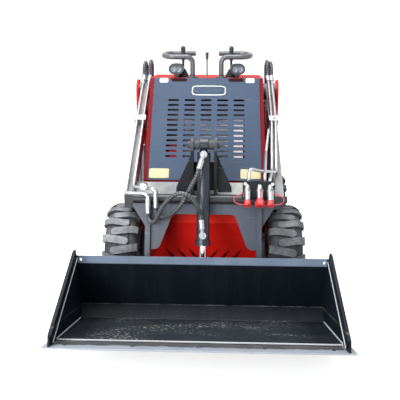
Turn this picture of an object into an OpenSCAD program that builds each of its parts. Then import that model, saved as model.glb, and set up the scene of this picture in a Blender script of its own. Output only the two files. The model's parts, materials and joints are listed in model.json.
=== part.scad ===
// Stand-on wheeled mini loader with a bucket, standing with its arms down and its bucket rolled back.
// Millimetres, +Z up, the front faces -Y. Most sizes along Y count backwards from the front axle.

/* [Wheels] */
// Distance between the axles
wheelbase = 715; // [640:5:800]
// Radius over the lugs
tyre_r = 254; // [240:1:270]
// Width of a tyre
tyre_w = 176; // [164:1:186]
// Height of the lugs
lug_h = 16; // [8:1:22]
// Width of one lug along the tread
lug_w = 38; // [28:1:40]
// Lugs on each half of the tread
lug_count = 16; // [10:1:16]
// Radius of the rim where the tyre sits
rim_r = 128; // [118:1:140]
// Radius of the stub axle
axle_r = 30; // [22:1:38]

/* [Chassis] */
// Half width of the lower chassis
chassis_half = 296; // [280:1:300]
// Height of the chassis floor
floor_z = 150; // [120:5:200]
// Height of the chassis deck, where the hood begins
deck_z = 560; // [545:1:590]
// Front face of the nose
nose_y = -57; // [-75:1:-40]
// Height of the fold in the nose
nose_fold_z = 435; // [400:5:470]
// Rear face of the chassis
chassis_rear_y = 940; // [900:5:980]
// Thickness of the chassis plates
plate_t = 8; // [5:1:12]
// Depth of the platform for the operator
platform_depth = 340; // [280:5:400]
// Half width of the platform
platform_half = 270; // [220:5:300]
// Height of the platform's top
platform_z = 215; // [180:5:260]

/* [Hood] */
// Foot of the sloping front, along Y
slope_foot_y = 26; // [10:1:40]
// Foot of the sloping front, height
slope_foot_z = 640; // [620:1:660]
// Head of the sloping front, along Y
slope_head_y = 436; // [410:1:460]
// Height of the hood's top
hood_top_z = 1133; // [1080:1:1180]
// Rear face of the hood
hood_rear_y = 800; // [770:5:840]
// Thickness of the hood's sheet
sheet_t = 4; // [3:0.5:6]
// Thickness of the louvred panel
panel_t = 4; // [3:0.5:6]
// Length of one louvre slot
slot_len = 61; // [50:1:70]
// Height of one louvre slot
slot_h = 13; // [8:1:18]
// Distance between the columns of slots
slot_pitch_x = 91; // [85:1:100]
// Distance between the rows of slots, along the slope
slot_pitch_s = 32; // [26:1:33]

/* [Arms] */
// Arm pivot, along Y
pivot_y = 653; // [635:1:670]
// Arm pivot, height
pivot_z = 1040; // [1020:1:1060]
// Width of an arm
arm_w = 46; // [40:1:50]
// Depth of an arm
arm_h = 90; // [80:1:100]
// Front end of the arms' middle line, along Y
arm_front_y = -107; // [-120:1:-95]
// Front end of the arms' middle line, height
arm_front_z = 560; // [556:1:572]
// Radius of the arm pivot pins
pivot_pin_r = 20; // [16:1:26]
// Radius of the cross tube
cross_tube_r = 25; // [20:1:30]
// Thickness of a leg
leg_t = 25; // [18:1:27]
// Thickness of the tower plates
tower_t = 12; // [8:1:14]

/* [Bucket] */
// Half width of the bucket between its sides
bucket_half = 575; // [520:5:600]
// Depth of the bucket's floor
bucket_floor = 490; // [450:5:540]
// Height of the bucket's back plate, along its slope
bucket_back = 253; // [230:1:280]
// Angle that the bucket is rolled back at rest
roll_back = 16.7; // [12:0.1:20]
// Thickness of the bucket's plates
bucket_t = 8; // [6:1:12]
// How far the cutting edge stands out past each side
edge_overhang = 23; // [5:1:30]
// Thickness of the cutting edge
edge_t = 16; // [12:1:20]
// Bucket pivot, along Y
bucket_pin_y = -302; // [-310:1:-295]
// Bucket pivot, height
bucket_pin_z = 115; // [110:1:130]
// Radius of the bucket pins
bucket_pin_r = 15; // [12:1:18]

/* [Cylinders] */
// Top pin of the tilt cylinder, along Y
tilt_pin_y = -107; // [-115:1:-95]
// Top pin of the tilt cylinder, height
tilt_pin_z = 855; // [840:1:870]
// Radius of the tilt cylinder's pin
tilt_pin_r = 18; // [14:1:22]
// Radius of the tilt barrel
tilt_barrel_r = 32; // [28:1:33]
// Radius of the tilt rod
tilt_rod_r = 17; // [13:1:20]
// Radius of a lift barrel
lift_barrel_r = 28; // [24:1:30]
// Radius of a lift rod
lift_rod_r = 15; // [12:1:18]
// Lower pin of the lift cylinders, along Y
lift_pin_y = 383; // [370:1:390]
// Lower pin of the lift cylinders, height
lift_pin_z = 320; // [310:1:330]
// Radius of the lift cylinders' pins
lift_pin_r = 14; // [11:1:16]

/* [Controls] */
// Radius of the handle tube
handle_r = 14; // [11:1:17]
// Height of the handles' front bar
handle_z = 1250; // [1230:1:1270]
// Middle of a work lamp from the centre plane
lamp_x = 176; // [170:1:182]
// Height of the lamps' middle
lamp_z = 1182; // [1175:1:1190]

/* [Hidden] */
$fn = 48;

// Radial clearance of every pin and rod in its bore
fit = 0.05;
// Gap between a piece and the moving piece beside it
side_gap = 3;
// Overlap that makes a cut or a weld clean
over = 1;
// Reach of a cutting block past what it cuts
cut_reach = 400;

// Widths that follow from the chassis and the clearances beside it
tyre_clear = 33;
track_half = chassis_half + tyre_clear + tyre_w / 2;
hood_step = 24;
hood_half = chassis_half + hood_step;
panel_inset = 23;
panel_half = hood_half - panel_inset;
tower_in_t = 15;
tower_gap = 80;
arm_x = hood_half + tower_in_t + tower_gap / 2;
leg_inset = 100;
leg_x = arm_x - leg_inset;

// Helpers
function unit(v) = v / norm(v);
function left_of(v) = [-v[1], v[0]];
function turned(p, a) = [p[0] * cos(a) - p[1] * sin(a), p[0] * sin(a) + p[1] * cos(a)];
function mitre(u, v) = (left_of(u) + left_of(v)) / (1 + left_of(u) * left_of(v));
// Closed outline, anticlockwise, moved inwards by d
function inset(p, d) = let (n = len(p)) [
    for (i = [0:n - 1])
        p[i] + d * mitre(unit(p[i] - p[(i + n - 1) % n]), unit(p[(i + 1) % n] - p[i]))
];
// Open line moved to its left by d
function beside(p, d) = let (n = len(p)) [
    for (i = [0:n - 1])
        let (u = unit(p[max(i, 1)] - p[max(i, 1) - 1]), v = unit(p[min(i + 1, n - 1)] - p[min(i, n - 2)]))
            p[i] + d * mitre(u, v)
];
function backwards(p) = [for (i = [len(p) - 1:-1:0]) p[i]];

// An outline in Y and Z, carried along X from x0 to x1
module slab(x0, x1) {
    translate([x0, 0, 0]) rotate([90, 0, 90]) linear_extrude(x1 - x0) children();
}
module pin_x(p, r, x0, x1) {
    translate([x0, p[0], p[1]]) rotate([0, 90, 0]) cylinder(r = r, h = x1 - x0);
}
module both_sides() {
    children();
    mirror([1, 0, 0]) children();
}
// A round tube along points, with flat ends square to its first and last stretch
function path_dir(p, i) = unit(p[min(i + 1, len(p) - 1)] - p[max(i - 1, 0)]);
// Carry a side vector along the directions without twist
function carried(dirs, i, a) = i >= len(dirs) ? [] :
    let (b = unit(a - (a * dirs[i]) * dirs[i])) concat([b], carried(dirs, i + 1, b));
function ring(c, d, a, r, sides) = let (b = cross(d, a))
    [for (k = [0:sides - 1]) c + r * (cos(k * 360 / sides) * a + sin(k * 360 / sides) * b)];
module hose(p, r, sides) {
    n = len(p);
    dirs = [for (i = [0:n - 1]) path_dir(p, i)];
    side_vectors = carried(dirs, 0, [1, 0, 0]);
    points = [for (i = [0:n - 1]) each ring(p[i], dirs[i], side_vectors[i], r, sides)];
    walls = [for (i = [0:n - 2], k = [0:sides - 1])
        [i * sides + k, (i + 1) * sides + k, (i + 1) * sides + (k + 1) % sides, i * sides + (k + 1) % sides]];
    first = [for (k = [0:sides - 1]) k];
    last = [for (k = [sides - 1:-1:0]) (n - 1) * sides + k];
    polyhedron(points, concat([first], walls, [last]));
}
// A smooth curve through points: each stretch is a cubic with steps pieces
function smooth(p, steps) = let (n = len(p)) concat([p[0]], [
    for (i = [0:n - 2], k = [1:steps])
        let (t = k / steps, a = p[max(i - 1, 0)], b = p[i], c = p[i + 1], d = p[min(i + 2, n - 1)])
            0.5 * (2 * b + (c - a) * t + (2 * a - 5 * b + 4 * c - d) * t * t
                + (3 * b - a - 3 * c + d) * t * t * t)
]);
// The same curve between straight first and last stretches, so that its ends meet their fittings squarely
function eased(p, steps) = let (n = len(p))
    concat([p[0]], smooth([for (i = [1:n - 2]) p[i]], steps), [p[n - 1]]);
// A corner rounded by an arc of radius r, in the plane or in space; r = 0 keeps the corner
function corner(a, b, c, r, steps) = r == 0 ? [b] :
    let (u = unit(a - b), v = unit(c - b), half = acos(u * v) / 2, reach = r / tan(half),
        middle = b + r / sin(half) * unit(u + v), from = b + reach * u - middle, to = b + reach * v - middle,
        sweep = 180 - 2 * half)
    [for (k = [0:steps])
        middle + (sin((1 - k / steps) * sweep) * from + sin(k / steps * sweep) * to) / sin(sweep)];
// An open line with its inner corners rounded
function bent(p, r, steps) = concat(
    [p[0]], [for (i = [1:len(p) - 2]) each corner(p[i - 1], p[i], p[i + 1], r, steps)], [p[len(p) - 1]]
);
// A closed outline whose corners have radii of their own
function rounded(p, radii, steps) = let (n = len(p))
    [for (i = [0:n - 1]) each corner(p[(i + n - 1) % n], p[i], p[(i + 1) % n], radii[i], steps)];

// Places that follow from the sizes above
pivot = [pivot_y, pivot_z];
arm_front = [arm_front_y, arm_front_z];
arm_len = norm(pivot - arm_front);
arm_angle = atan2(pivot_z - arm_front_z, pivot_y - arm_front_y);
bucket_pin = [bucket_pin_y, bucket_pin_z];
tilt_pin = [tilt_pin_y, tilt_pin_z];
lift_pin = [lift_pin_y, lift_pin_z];
rear_axle_y = wheelbase;
axle_z = tyre_r;

// The bucket's outline in its own frame: Y back along the floor, Z square to it, the bucket pin at the origin
heel_len = 78;
heel_angle = 51;
back_angle = 124;
lip_rise = 35;
heel = [-105, -70];
lip = heel - [bucket_floor, 0];
fold = heel + heel_len * [cos(heel_angle), sin(heel_angle)];
back_dir = [cos(back_angle), sin(back_angle)];
back_top = fold + bucket_back * back_dir;
flange_top = back_top + [0, lip_rise];
back_normal = [sin(back_angle), -cos(back_angle)];
edge_reach = 105;
edge_depth = 150;
floor_front = lip + [edge_reach, 0];
// Eye of the tilt rod, in the bucket's frame
tilt_eye_local = [-38, 161];
tilt_eye = bucket_pin + turned(tilt_eye_local, -roll_back);
tilt_len = norm(tilt_eye - tilt_pin);
tilt_angle = atan2(tilt_pin[0] - tilt_eye[0], tilt_pin[1] - tilt_eye[1]);
tilt_stroke = 304;
tilt_barrel_len = 490;
// Eye of a lift rod, in the arm's frame: Y along the arm from its pivot, Z square to it
lift_eye_local = [-215, -108];
lift_eye = pivot + turned(lift_eye_local, arm_angle);
lift_len = norm(lift_eye - lift_pin);
lift_angle = atan2(lift_eye[0] - lift_pin[0], lift_eye[1] - lift_pin[1]);
lift_stroke = 282;
lift_barrel_len = 425;

// The whole machine is centred along Y on its own length
lip_tip = bucket_pin + turned(lip - [0, bucket_t], -roll_back);
platform_rear = chassis_rear_y + platform_depth;
middle_y = -(lip_tip[0] + platform_rear) / 2;

module machine() { translate([0, middle_y, 0]) children(); }
module arm_frame() { machine() translate([0, pivot[0], pivot[1]]) rotate([arm_angle, 0, 0]) children(); }
module bucket_frame() {
    machine() translate([0, bucket_pin[0], bucket_pin[1]]) rotate([-roll_back, 0, 0]) children();
}
module tilt_frame() {
    machine() translate([0, tilt_pin[0], tilt_pin[1]]) rotate([-tilt_angle, 0, 0]) children();
}
module lift_frame(side) {
    machine() translate([side * arm_x, lift_pin[0], lift_pin[1]]) rotate([-lift_angle, 0, 0]) children();
}

// Chassis
nose_slope = (slope_foot_y - nose_y) / (slope_foot_z - nose_fold_z);
deck_front_y = nose_y + nose_slope * (deck_z - nose_fold_z);
chassis_outline = [
    [nose_y, floor_z], [chassis_rear_y, floor_z], [chassis_rear_y, deck_z],
    [deck_front_y, deck_z], [nose_y, nose_fold_z]
];
slit_places = [54, 114, 175];
slit_z = 259;
slit_len = 84;
slit_w = 22;
slit_tip = 3;
slit_lean = 38;
bracket_ear_t = 10;
eye_half = 15;
bracket_half_y = 34;
bracket_drop = 50;
tie_hole_r = 13;
tie_t = 12;
tie_half = 30;
tie_reach = 45;
tie_x = 200;
tie_z = 420;

module lift_bracket() {
    inner = arm_x - eye_half - side_gap - bracket_ear_t;
    outer = arm_x + eye_half + side_gap;
    shelf_top = lift_pin_z - bracket_drop;
    translate([chassis_half, lift_pin_y - bracket_half_y, shelf_top - plate_t])
        cube([outer + bracket_ear_t - chassis_half, 2 * bracket_half_y, plate_t]);
    for (x = [inner, outer])
        slab(x, x + bracket_ear_t) {
            translate([lift_pin_y - bracket_half_y, shelf_top - over])
                square([2 * bracket_half_y, bracket_drop + over]);
            translate(lift_pin) circle(r = bracket_half_y);
        }
    pin_x(lift_pin, lift_pin_r, inner - over, outer + bracket_ear_t + over);
}
module lift_brackets() { color("firebrick") machine() both_sides() lift_bracket(); }
module tie_plate() {
    difference() {
        slab(tie_x - tie_t / 2, tie_x + tie_t / 2) {
            translate([chassis_rear_y - over, tie_z - tie_half]) square([tie_reach + over, 2 * tie_half]);
            translate([chassis_rear_y + tie_reach, tie_z]) circle(r = tie_half);
        }
        pin_x([chassis_rear_y + tie_reach, tie_z], tie_hole_r, tie_x - tie_t, tie_x + tie_t);
    }
}
module chassis_frame() {
    color("firebrick") machine() {
        difference() {
            slab(-chassis_half, chassis_half) polygon(chassis_outline);
            slab(-chassis_half + plate_t, chassis_half - plate_t) polygon(inset(chassis_outline, plate_t));
            both_sides() for (x = slit_places)
                translate([x, nose_y - over, slit_z]) rotate([-90, 0, 0]) rotate([0, 0, slit_lean])
                    linear_extrude(plate_t + 2 * over) polygon([
                        [-slit_tip / 2, -slit_len / 2], [slit_tip / 2, -slit_len / 2],
                        [slit_w / 2, slit_len / 2], [-slit_w / 2, slit_len / 2]
                    ]);
        }
        both_sides() tie_plate();
    }
}

// Hood
slope_len = norm([slope_head_y - slope_foot_y, hood_top_z - slope_foot_z]);
slope_angle = atan2(hood_top_z - slope_foot_z, slope_head_y - slope_foot_y);
hood_chamfer = 50;
hood_outline = [
    [deck_front_y, deck_z], [hood_rear_y, deck_z], [hood_rear_y, hood_top_z - hood_chamfer],
    [hood_rear_y - hood_chamfer, hood_top_z], [slope_head_y, hood_top_z], [slope_foot_y, slope_foot_z]
];
window_margin = 34;
door_half = 240;
door_low = 640;
door_high = 1040;
door_margin = 20;
slot_columns = 5;
slot_rows = 12;
slot_first = 140;
notch_half = 36;
notch_h = 16;

// Frame of the sloping front: X across, Y up along the slope, Z out of the face
module slope_frame() {
    translate([0, slope_foot_y, slope_foot_z]) rotate([slope_angle, 0, 0]) children();
}
module hood() {
    color("crimson") machine() difference() {
        slab(-hood_half, hood_half) polygon(hood_outline);
        slab(-hood_half + sheet_t, hood_half - sheet_t) polygon(inset(hood_outline, sheet_t));
        slope_frame() translate([-panel_half + window_margin, window_margin, -2 * sheet_t])
            cube([2 * (panel_half - window_margin), slope_len - 2 * window_margin, 4 * sheet_t]);
        translate([-door_half + door_margin, hood_rear_y - 2 * sheet_t, door_low + door_margin])
            cube([2 * (door_half - door_margin), 4 * sheet_t, door_high - door_low - 2 * door_margin]);
    }
}
module round_slot(len, h) {
    square([len - h, h], center = true);
    for (s = [-1, 1]) translate([s * (len - h) / 2, 0]) circle(d = h);
}
module hood_panel() {
    color("slategray") machine() slope_frame() linear_extrude(panel_t) difference() {
        translate([-panel_half, 0]) square([2 * panel_half, slope_len]);
        for (i = [0:slot_columns - 1], j = [0:slot_rows - 1])
            translate([(i - (slot_columns - 1) / 2) * slot_pitch_x, slot_first + j * slot_pitch_s])
                round_slot(slot_len, slot_h);
        for (s = [-1, 1]) translate([s * lamp_x, slope_len]) round_slot(2 * notch_half, 2 * notch_h);
    }
}
engine_half = 210;
engine_y0 = 330;
engine_len = 380;
engine_h = 400;
module engine_block() {
    color("dimgray") machine() translate([-engine_half, engine_y0, deck_z + sheet_t])
        cube([2 * engine_half, engine_len, engine_h]);
}
door_t = 6;
louvre_count = 6;
module rear_door() {
    color("slategray") machine() translate([0, hood_rear_y, 0]) rotate([90, 0, 180]) linear_extrude(door_t)
        difference() {
            translate([-door_half, door_low]) square([2 * door_half, door_high - door_low]);
            for (i = [0:louvre_count - 1], s = [-1, 1])
                translate([s * door_half / 2, door_low + 2 * window_margin + 2 * i * slot_pitch_s])
                    round_slot(2 * slot_len, slot_h);
        }
}

// Towers that carry the arms
tower_top_r = 70;
tower_foot_front = 110;
tower_foot_rear = 130;
tower_web_y = 75;
tower_web_t = 10;
tower_web_top = 890;
hose_shelf_depth = 72;
tower_base_t = 10;
tower_in = arm_x - tower_gap / 2;
tower_out = arm_x + tower_gap / 2;
module tower_outline() {
    polygon([
        [pivot_y - tower_foot_front, deck_z], [pivot_y + tower_foot_rear, deck_z],
        [pivot_y + tower_top_r, pivot_z], [pivot_y - tower_top_r, pivot_z]
    ]);
    translate(pivot) circle(r = tower_top_r);
}
module arm_towers() {
    color("firebrick") machine() both_sides() {
        slab(hood_half, tower_in) tower_outline();
        slab(tower_out, tower_out + tower_t) tower_outline();
        translate([chassis_half, pivot_y - tower_foot_front, deck_z - tower_base_t])
            cube([tower_out + tower_t - chassis_half, tower_foot_front + tower_foot_rear, tower_base_t]);
        translate([tower_in - over, pivot_y + tower_web_y, deck_z - over])
            cube([tower_gap + 2 * over, tower_web_t, tower_web_top - deck_z + over]);
        translate([tower_in - over, pivot_y + tower_web_y, tower_web_top - over])
            cube([tower_gap + 2 * over, hose_shelf_depth, tower_base_t + over]);
        pin_x(pivot, pivot_pin_r, tower_in - over, tower_out + tower_t + 2 * over);
    }
}

// Platform for the operator
platform_t = 6;
platform_flange = 40;
bar_w = 60;
bar_h = 50;
bar_x = 150;
module platform() {
    color("dimgray") machine() {
        translate([-platform_half, chassis_rear_y, platform_z - platform_t])
            cube([2 * platform_half, platform_depth, platform_t]);
        translate([-platform_half, chassis_rear_y + platform_depth - platform_t, platform_z - platform_flange])
            cube([2 * platform_half, platform_t, platform_flange - over]);
        both_sides() translate([platform_half - platform_t, chassis_rear_y, platform_z - platform_flange])
            cube([platform_t, platform_depth, platform_flange - over]);
        both_sides() translate([bar_x - bar_w / 2, chassis_rear_y, platform_z - platform_t - bar_h])
            cube([bar_w, platform_depth - 2 * platform_t, bar_h + over]);
    }
}

// Handles, lamps and controls
handle_y = 487;
handle_post_x = 82;
handle_turn_r = 65;
handle_bend_r = 34;
handle_end_x = 264;
handle_tilt = 7;
handle_foot_r = 30;
handle_foot_t = 8;
// One tube: up the post, round the elbow, out along the front bar, round the turn and back along the rear bar
module handle() {
    post_h = handle_z - hood_top_z - handle_bend_r;
    straight = handle_end_x - handle_r - handle_turn_r - handle_post_x;
    translate([handle_post_x, handle_y, hood_top_z]) {
        cylinder(r = handle_foot_r, h = handle_foot_t);
        rotate([handle_tilt, 0, 0]) {
            translate([0, 0, handle_foot_t / 2]) cylinder(r = handle_r, h = post_h - handle_foot_t / 2);
            translate([handle_bend_r, 0, post_h]) rotate([90, 0, 0]) rotate([0, 0, 90])
                rotate_extrude(angle = 90) translate([handle_bend_r, 0]) circle(r = handle_r);
            translate([0, 0, post_h + handle_bend_r]) {
                pin_x([0, 0], handle_r, handle_bend_r, straight);
                translate([straight, handle_turn_r, 0]) rotate([0, 0, -90]) rotate_extrude(angle = 180)
                    translate([handle_turn_r, 0]) circle(r = handle_r);
                pin_x([2 * handle_turn_r, 0], handle_r, -handle_r, straight);
            }
        }
    }
}
module grab_handles() { color("black") machine() both_sides() handle(); }

lamp_w = 86;
lamp_h = 60;
lamp_d = 62;
lamp_back = 25;
lamp_y = slope_head_y + lamp_back;
lens_t = 8;
bezel = 11;
lens_step = 3;
foot_w = 26;
module lamp_housings() {
    color("black") machine() both_sides() {
        difference() {
            translate([lamp_x, lamp_y + lamp_d, lamp_z]) rotate([90, 0, 0]) linear_extrude(lamp_d)
                round_slot(lamp_w, lamp_h);
            translate([lamp_x, lamp_y + lens_t, lamp_z]) rotate([90, 0, 0]) linear_extrude(lens_t + over)
                round_slot(lamp_w - 2 * bezel, lamp_h - 2 * bezel);
        }
        translate([lamp_x - foot_w / 2, lamp_y + lamp_d / 2, hood_top_z])
            cube([foot_w, foot_w, lamp_z - hood_top_z - lamp_h / 2 + over]);
    }
}
module lamp_lenses() {
    color("lightcyan") machine() both_sides() translate([lamp_x, lamp_y + lens_t, lamp_z]) rotate([90, 0, 0])
        linear_extrude(lens_t - lens_step) round_slot(lamp_w - 2 * bezel, lamp_h - 2 * bezel);
}

stick_x = 140;
stick_y = 545;
stick_h = 175;
stick_top = hood_top_z + stick_h;
stick_r = 7;
grip_r = 13;
grip_len = 80;
boot_r = 34;
boot_h = 40;
boot_lip = 3;
grip_taper = 3;
module joysticks() {
    color("black") machine() both_sides() translate([stick_x, stick_y, 0]) {
        translate([0, 0, hood_top_z]) cylinder(r1 = boot_r, r2 = stick_r + boot_lip, h = boot_h);
        translate([0, 0, hood_top_z]) cylinder(r = stick_r, h = stick_top - grip_len - hood_top_z + over);
        translate([0, 0, stick_top - grip_len])
            cylinder(r1 = grip_r - grip_taper, r2 = grip_r, h = grip_len - grip_r);
        translate([0, 0, stick_top - grip_r]) sphere(r = grip_r);
    }
}
lever_y = 500;
lever_h = 140;
lever_top = hood_top_z + lever_h;
lever_r = 5;
lever_grip_r = 9;
lever_grip_len = 36;
lever_taper = 2;
module throttle_lever() {
    color("silver") machine() translate([0, lever_y, 0]) {
        translate([0, 0, hood_top_z]) cylinder(r = lever_r, h = lever_top - hood_top_z - over);
        translate([0, 0, lever_top - lever_grip_len])
            cylinder(r1 = lever_grip_r - lever_taper, r2 = lever_grip_r, h = lever_grip_len);
    }
}

// Wheels
rim_disc_t = 10;
rim_half = 84;
rim_wall = 6;
flange_h = 14;
rim_disc_x = 20;
hub_r = 62;
hub_half = 34;
motor_r = 85;
motor_t = 22;
bolt_circle = 88;
bolt_r = 8;
bolt_count = 5;
carcass_r = tyre_r - lug_h;
tyre_round = 46;
bead_half = 78;
lug_reach = 45;
lug_wrap = 48;
lug_drop = 26;
lug_fall = 8;
lug_round = 24;
lug_lean = 9;
lug_root = 8;
sidewall_in = 6;

module wheel_at(side, y) {
    machine() translate([side * track_half, y, axle_z]) rotate([0, 90 * side, 0]) children();
}
lug_low = tyre_r - lug_wrap;
tread_half = tyre_w / 2 - tyre_round;
// Limits of the lugs in a cut through the wheel, X the radius and Y across the tread
lug_limits = [
    [lug_low, -tyre_w / 2], [tyre_r - lug_drop, -tyre_w / 2], [tyre_r - lug_fall, -tyre_w / 2 + lug_round],
    [tyre_r, -tyre_w / 2 + 2 * lug_round], [tyre_r, tyre_w / 2 - 2 * lug_round],
    [tyre_r - lug_fall, tyre_w / 2 - lug_round], [tyre_r - lug_drop, tyre_w / 2], [lug_low, tyre_w / 2],
    [lug_low, tread_half - over], [carcass_r - lug_root, tread_half - over],
    [carcass_r - lug_root, -tread_half + over], [lug_low, -tread_half + over]
];
// A lug seen from above the tread: a bar with a round inner end, past the tyre's middle by lug_reach
module lug_plan() {
    translate([-lug_reach + lug_w / 2, -lug_w / 2]) square([tyre_w, lug_w]);
    translate([-lug_reach + lug_w / 2, 0]) circle(d = lug_w);
}
module lugs(lean) {
    intersection() {
        rotate_extrude() polygon(lug_limits);
        for (half = [0, 1], i = [0:lug_count - 1])
            rotate([0, 0, (i + half / 2) * 360 / lug_count]) mirror([0, 0, half])
                translate([lug_low - lug_root, 0, 0]) rotate([0, 90, 0])
                    linear_extrude(tyre_r - lug_low + 2 * lug_root) rotate([0, 0, lean]) lug_plan();
    }
}
// The lugs of both sides point the same way round, so their lean changes with the side
module tyre(side) {
    rotate_extrude() {
        translate([rim_r, -bead_half]) square([carcass_r - rim_r - tyre_round, 2 * bead_half]);
        translate([rim_r + flange_h, -tyre_w / 2 + sidewall_in])
            square([carcass_r - rim_r - flange_h - tyre_round, tyre_w - 2 * sidewall_in]);
        translate([carcass_r - tyre_round - over, -tread_half]) square([tyre_round + over, 2 * tread_half]);
        for (s = [-1, 1]) intersection() {
            translate([carcass_r - tyre_round, s * tread_half]) circle(r = tyre_round - sidewall_in);
            translate([carcass_r - tyre_round - over, -tyre_w]) square([tyre_round * 2, 2 * tyre_w]);
        }
    }
    lugs(-side * lug_lean);
}
module rim() {
    rotate_extrude() {
        translate([rim_r - rim_wall, -rim_half]) square([rim_wall, 2 * rim_half]);
        for (s = [-1, 1]) translate([rim_r - rim_wall, s * (rim_half - rim_wall / 2) - rim_wall / 2])
            square([rim_wall + flange_h, rim_wall]);
        translate([axle_r + fit, rim_disc_x]) square([rim_r - axle_r - fit - over, rim_disc_t]);
        translate([axle_r + fit, rim_disc_x - hub_half]) square([hub_r - axle_r - fit, 2 * hub_half]);
    }
    for (i = [0:bolt_count - 1]) rotate([0, 0, i * 360 / bolt_count]) translate([bolt_circle, 0, rim_disc_x])
        cylinder(r = bolt_r, h = rim_disc_t + bolt_r);
}
module tyre_front_left() { color("dimgray") wheel_at(-1, 0) tyre(-1); }
module tyre_front_right() { color("dimgray") wheel_at(1, 0) tyre(1); }
module tyre_rear_left() { color("dimgray") wheel_at(-1, rear_axle_y) tyre(-1); }
module tyre_rear_right() { color("dimgray") wheel_at(1, rear_axle_y) tyre(1); }
module rim_front_left() { color("gray") wheel_at(-1, 0) rim(); }
module rim_front_right() { color("gray") wheel_at(1, 0) rim(); }
module rim_rear_left() { color("gray") wheel_at(-1, rear_axle_y) rim(); }
module rim_rear_right() { color("gray") wheel_at(1, rear_axle_y) rim(); }
module wheel_motors() {
    color("dimgray") machine() both_sides() for (y = [0, rear_axle_y]) {
        pin_x([y, axle_z], motor_r, chassis_half, chassis_half + motor_t);
        pin_x([y, axle_z], axle_r, chassis_half + motor_t - over, track_half + rim_disc_x + hub_half);
    }
}

// Arms
boss_r = 50;
lug_plate_t = 10;
eye_lug_r = 28;
eye_lug_foot = 67;
pin_head = 6;
arm_nose = 18;
arm_toe_z = 535;
arm_wall_y = arm_front_y - arm_nose;
module arm(side) {
    color("slategray") difference() {
        union() {
            difference() {
                arm_frame() translate([side * arm_x - arm_w / 2, -arm_len - arm_h, -arm_h / 2])
                    cube([arm_w, arm_len + arm_h, arm_h]);
                machine() translate([side * arm_x - arm_w, arm_wall_y - cut_reach, 0])
                    cube([2 * arm_w, cut_reach, 2 * pivot_z]);
                machine() translate([side * arm_x - arm_w, arm_wall_y - over, 0])
                    cube([2 * arm_w, cut_reach, arm_toe_z]);
            }
            arm_frame() pin_x([0, 0], boss_r, side * arm_x - tower_gap / 2 + side_gap / 2,
                side * arm_x + tower_gap / 2 - side_gap / 2);
            for (s = [-1, 1]) arm_frame() {
                x = side * arm_x + s * (eye_half + side_gap + lug_plate_t / 2);
                slab(x - lug_plate_t / 2, x + lug_plate_t / 2) {
                    polygon([
                        [lift_eye_local[0] - eye_lug_foot, -arm_h / 2 + over],
                        [lift_eye_local[0] - eye_lug_r, lift_eye_local[1]],
                        [lift_eye_local[0] + eye_lug_r, lift_eye_local[1]],
                        [lift_eye_local[0] + eye_lug_foot, -arm_h / 2 + over]
                    ]);
                    translate(lift_eye_local) circle(r = eye_lug_r);
                }
                pin_x(lift_eye_local, lift_pin_r, min(x, x + s * (lug_plate_t / 2 + pin_head)),
                    max(x, x + s * (lug_plate_t / 2 + pin_head)));
            }
        }
        arm_frame() pin_x([0, 0], pivot_pin_r + fit, side * arm_x - tower_gap, side * arm_x + tower_gap);
    }
}
module arm_left() { arm(-1); }
module arm_right() { arm(1); }

// Cross frame: the tube between the arms, the upper plate, the arched plate and the legs
cross_tube = [-122, 583];
upper_rear = [-7, 631];
frame_plate_t = 10;
upper_dir = unit(upper_rear - cross_tube);
leg_len = norm(bucket_pin - cross_tube);
leg_angle = atan2(cross_tube[0] - bucket_pin[0], cross_tube[1] - bucket_pin[1]);
arm_inner = arm_x - arm_w / 2;
leg_boss_r = 32;
leg_top_half = 46;
leg_low_half = 27;
arch_top_half = 154;
arch_low_half = 220;
arch_top_s = 76;
arch_top_r = 28;
arch_low_r = 35;
arch_steps = 6;
shoulder_s = 140;
plate_corner_s = 40;
plate_low_s = 251;
// Frame of the legs: Y back square to the leg, Z up along the leg from the bucket pin
module leg_frame() {
    machine() translate([0, bucket_pin[0], bucket_pin[1]]) rotate([-leg_angle, 0, 0]) children();
}
// Only the arch's own corners are round: its two feet and the two ends of its top
arch_radii = [0, 0, 0, 0, arch_low_r, arch_top_r, arch_top_r, arch_low_r, 0, 0, 0, 0];
module arched_plate() {
    leg_frame() translate([0, frame_plate_t / 2, leg_len]) rotate([90, 0, 0])
        linear_extrude(frame_plate_t) polygon(rounded([
            [-arm_inner, 0], [-arm_inner, -plate_corner_s], [-leg_x - leg_t / 2, -shoulder_s],
            [-leg_x - leg_t / 2, -plate_low_s], [-arch_low_half, -plate_low_s], [-arch_top_half, -arch_top_s],
            [arch_top_half, -arch_top_s], [arch_low_half, -plate_low_s], [leg_x + leg_t / 2, -plate_low_s],
            [leg_x + leg_t / 2, -shoulder_s], [arm_inner, -plate_corner_s], [arm_inner, 0]
        ], arch_radii, arch_steps));
}
module leg() {
    leg_frame() slab(leg_x - leg_t / 2, leg_x + leg_t / 2)
        polygon([
            [-leg_low_half, 0], [leg_low_half, 0], [leg_top_half, leg_len], [-leg_top_half / 2, leg_len]
        ]);
    machine() pin_x(bucket_pin, leg_boss_r, leg_x - leg_t / 2 - side_gap, leg_x + leg_t / 2 + side_gap);
}
module cross_frame() {
    color("lightsteelblue") difference() {
        union() {
            machine() pin_x(cross_tube, cross_tube_r, -arm_inner, arm_inner);
            machine() slab(-arm_inner, arm_inner) polygon([
                cross_tube, upper_rear, upper_rear + frame_plate_t * left_of(upper_dir),
                cross_tube + frame_plate_t * left_of(upper_dir)
            ]);
            arched_plate();
            both_sides() leg();
        }
        machine() both_sides()
            pin_x(bucket_pin, bucket_pin_r + fit, leg_x - 2 * leg_t, leg_x + 2 * leg_t);
    }
}

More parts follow.
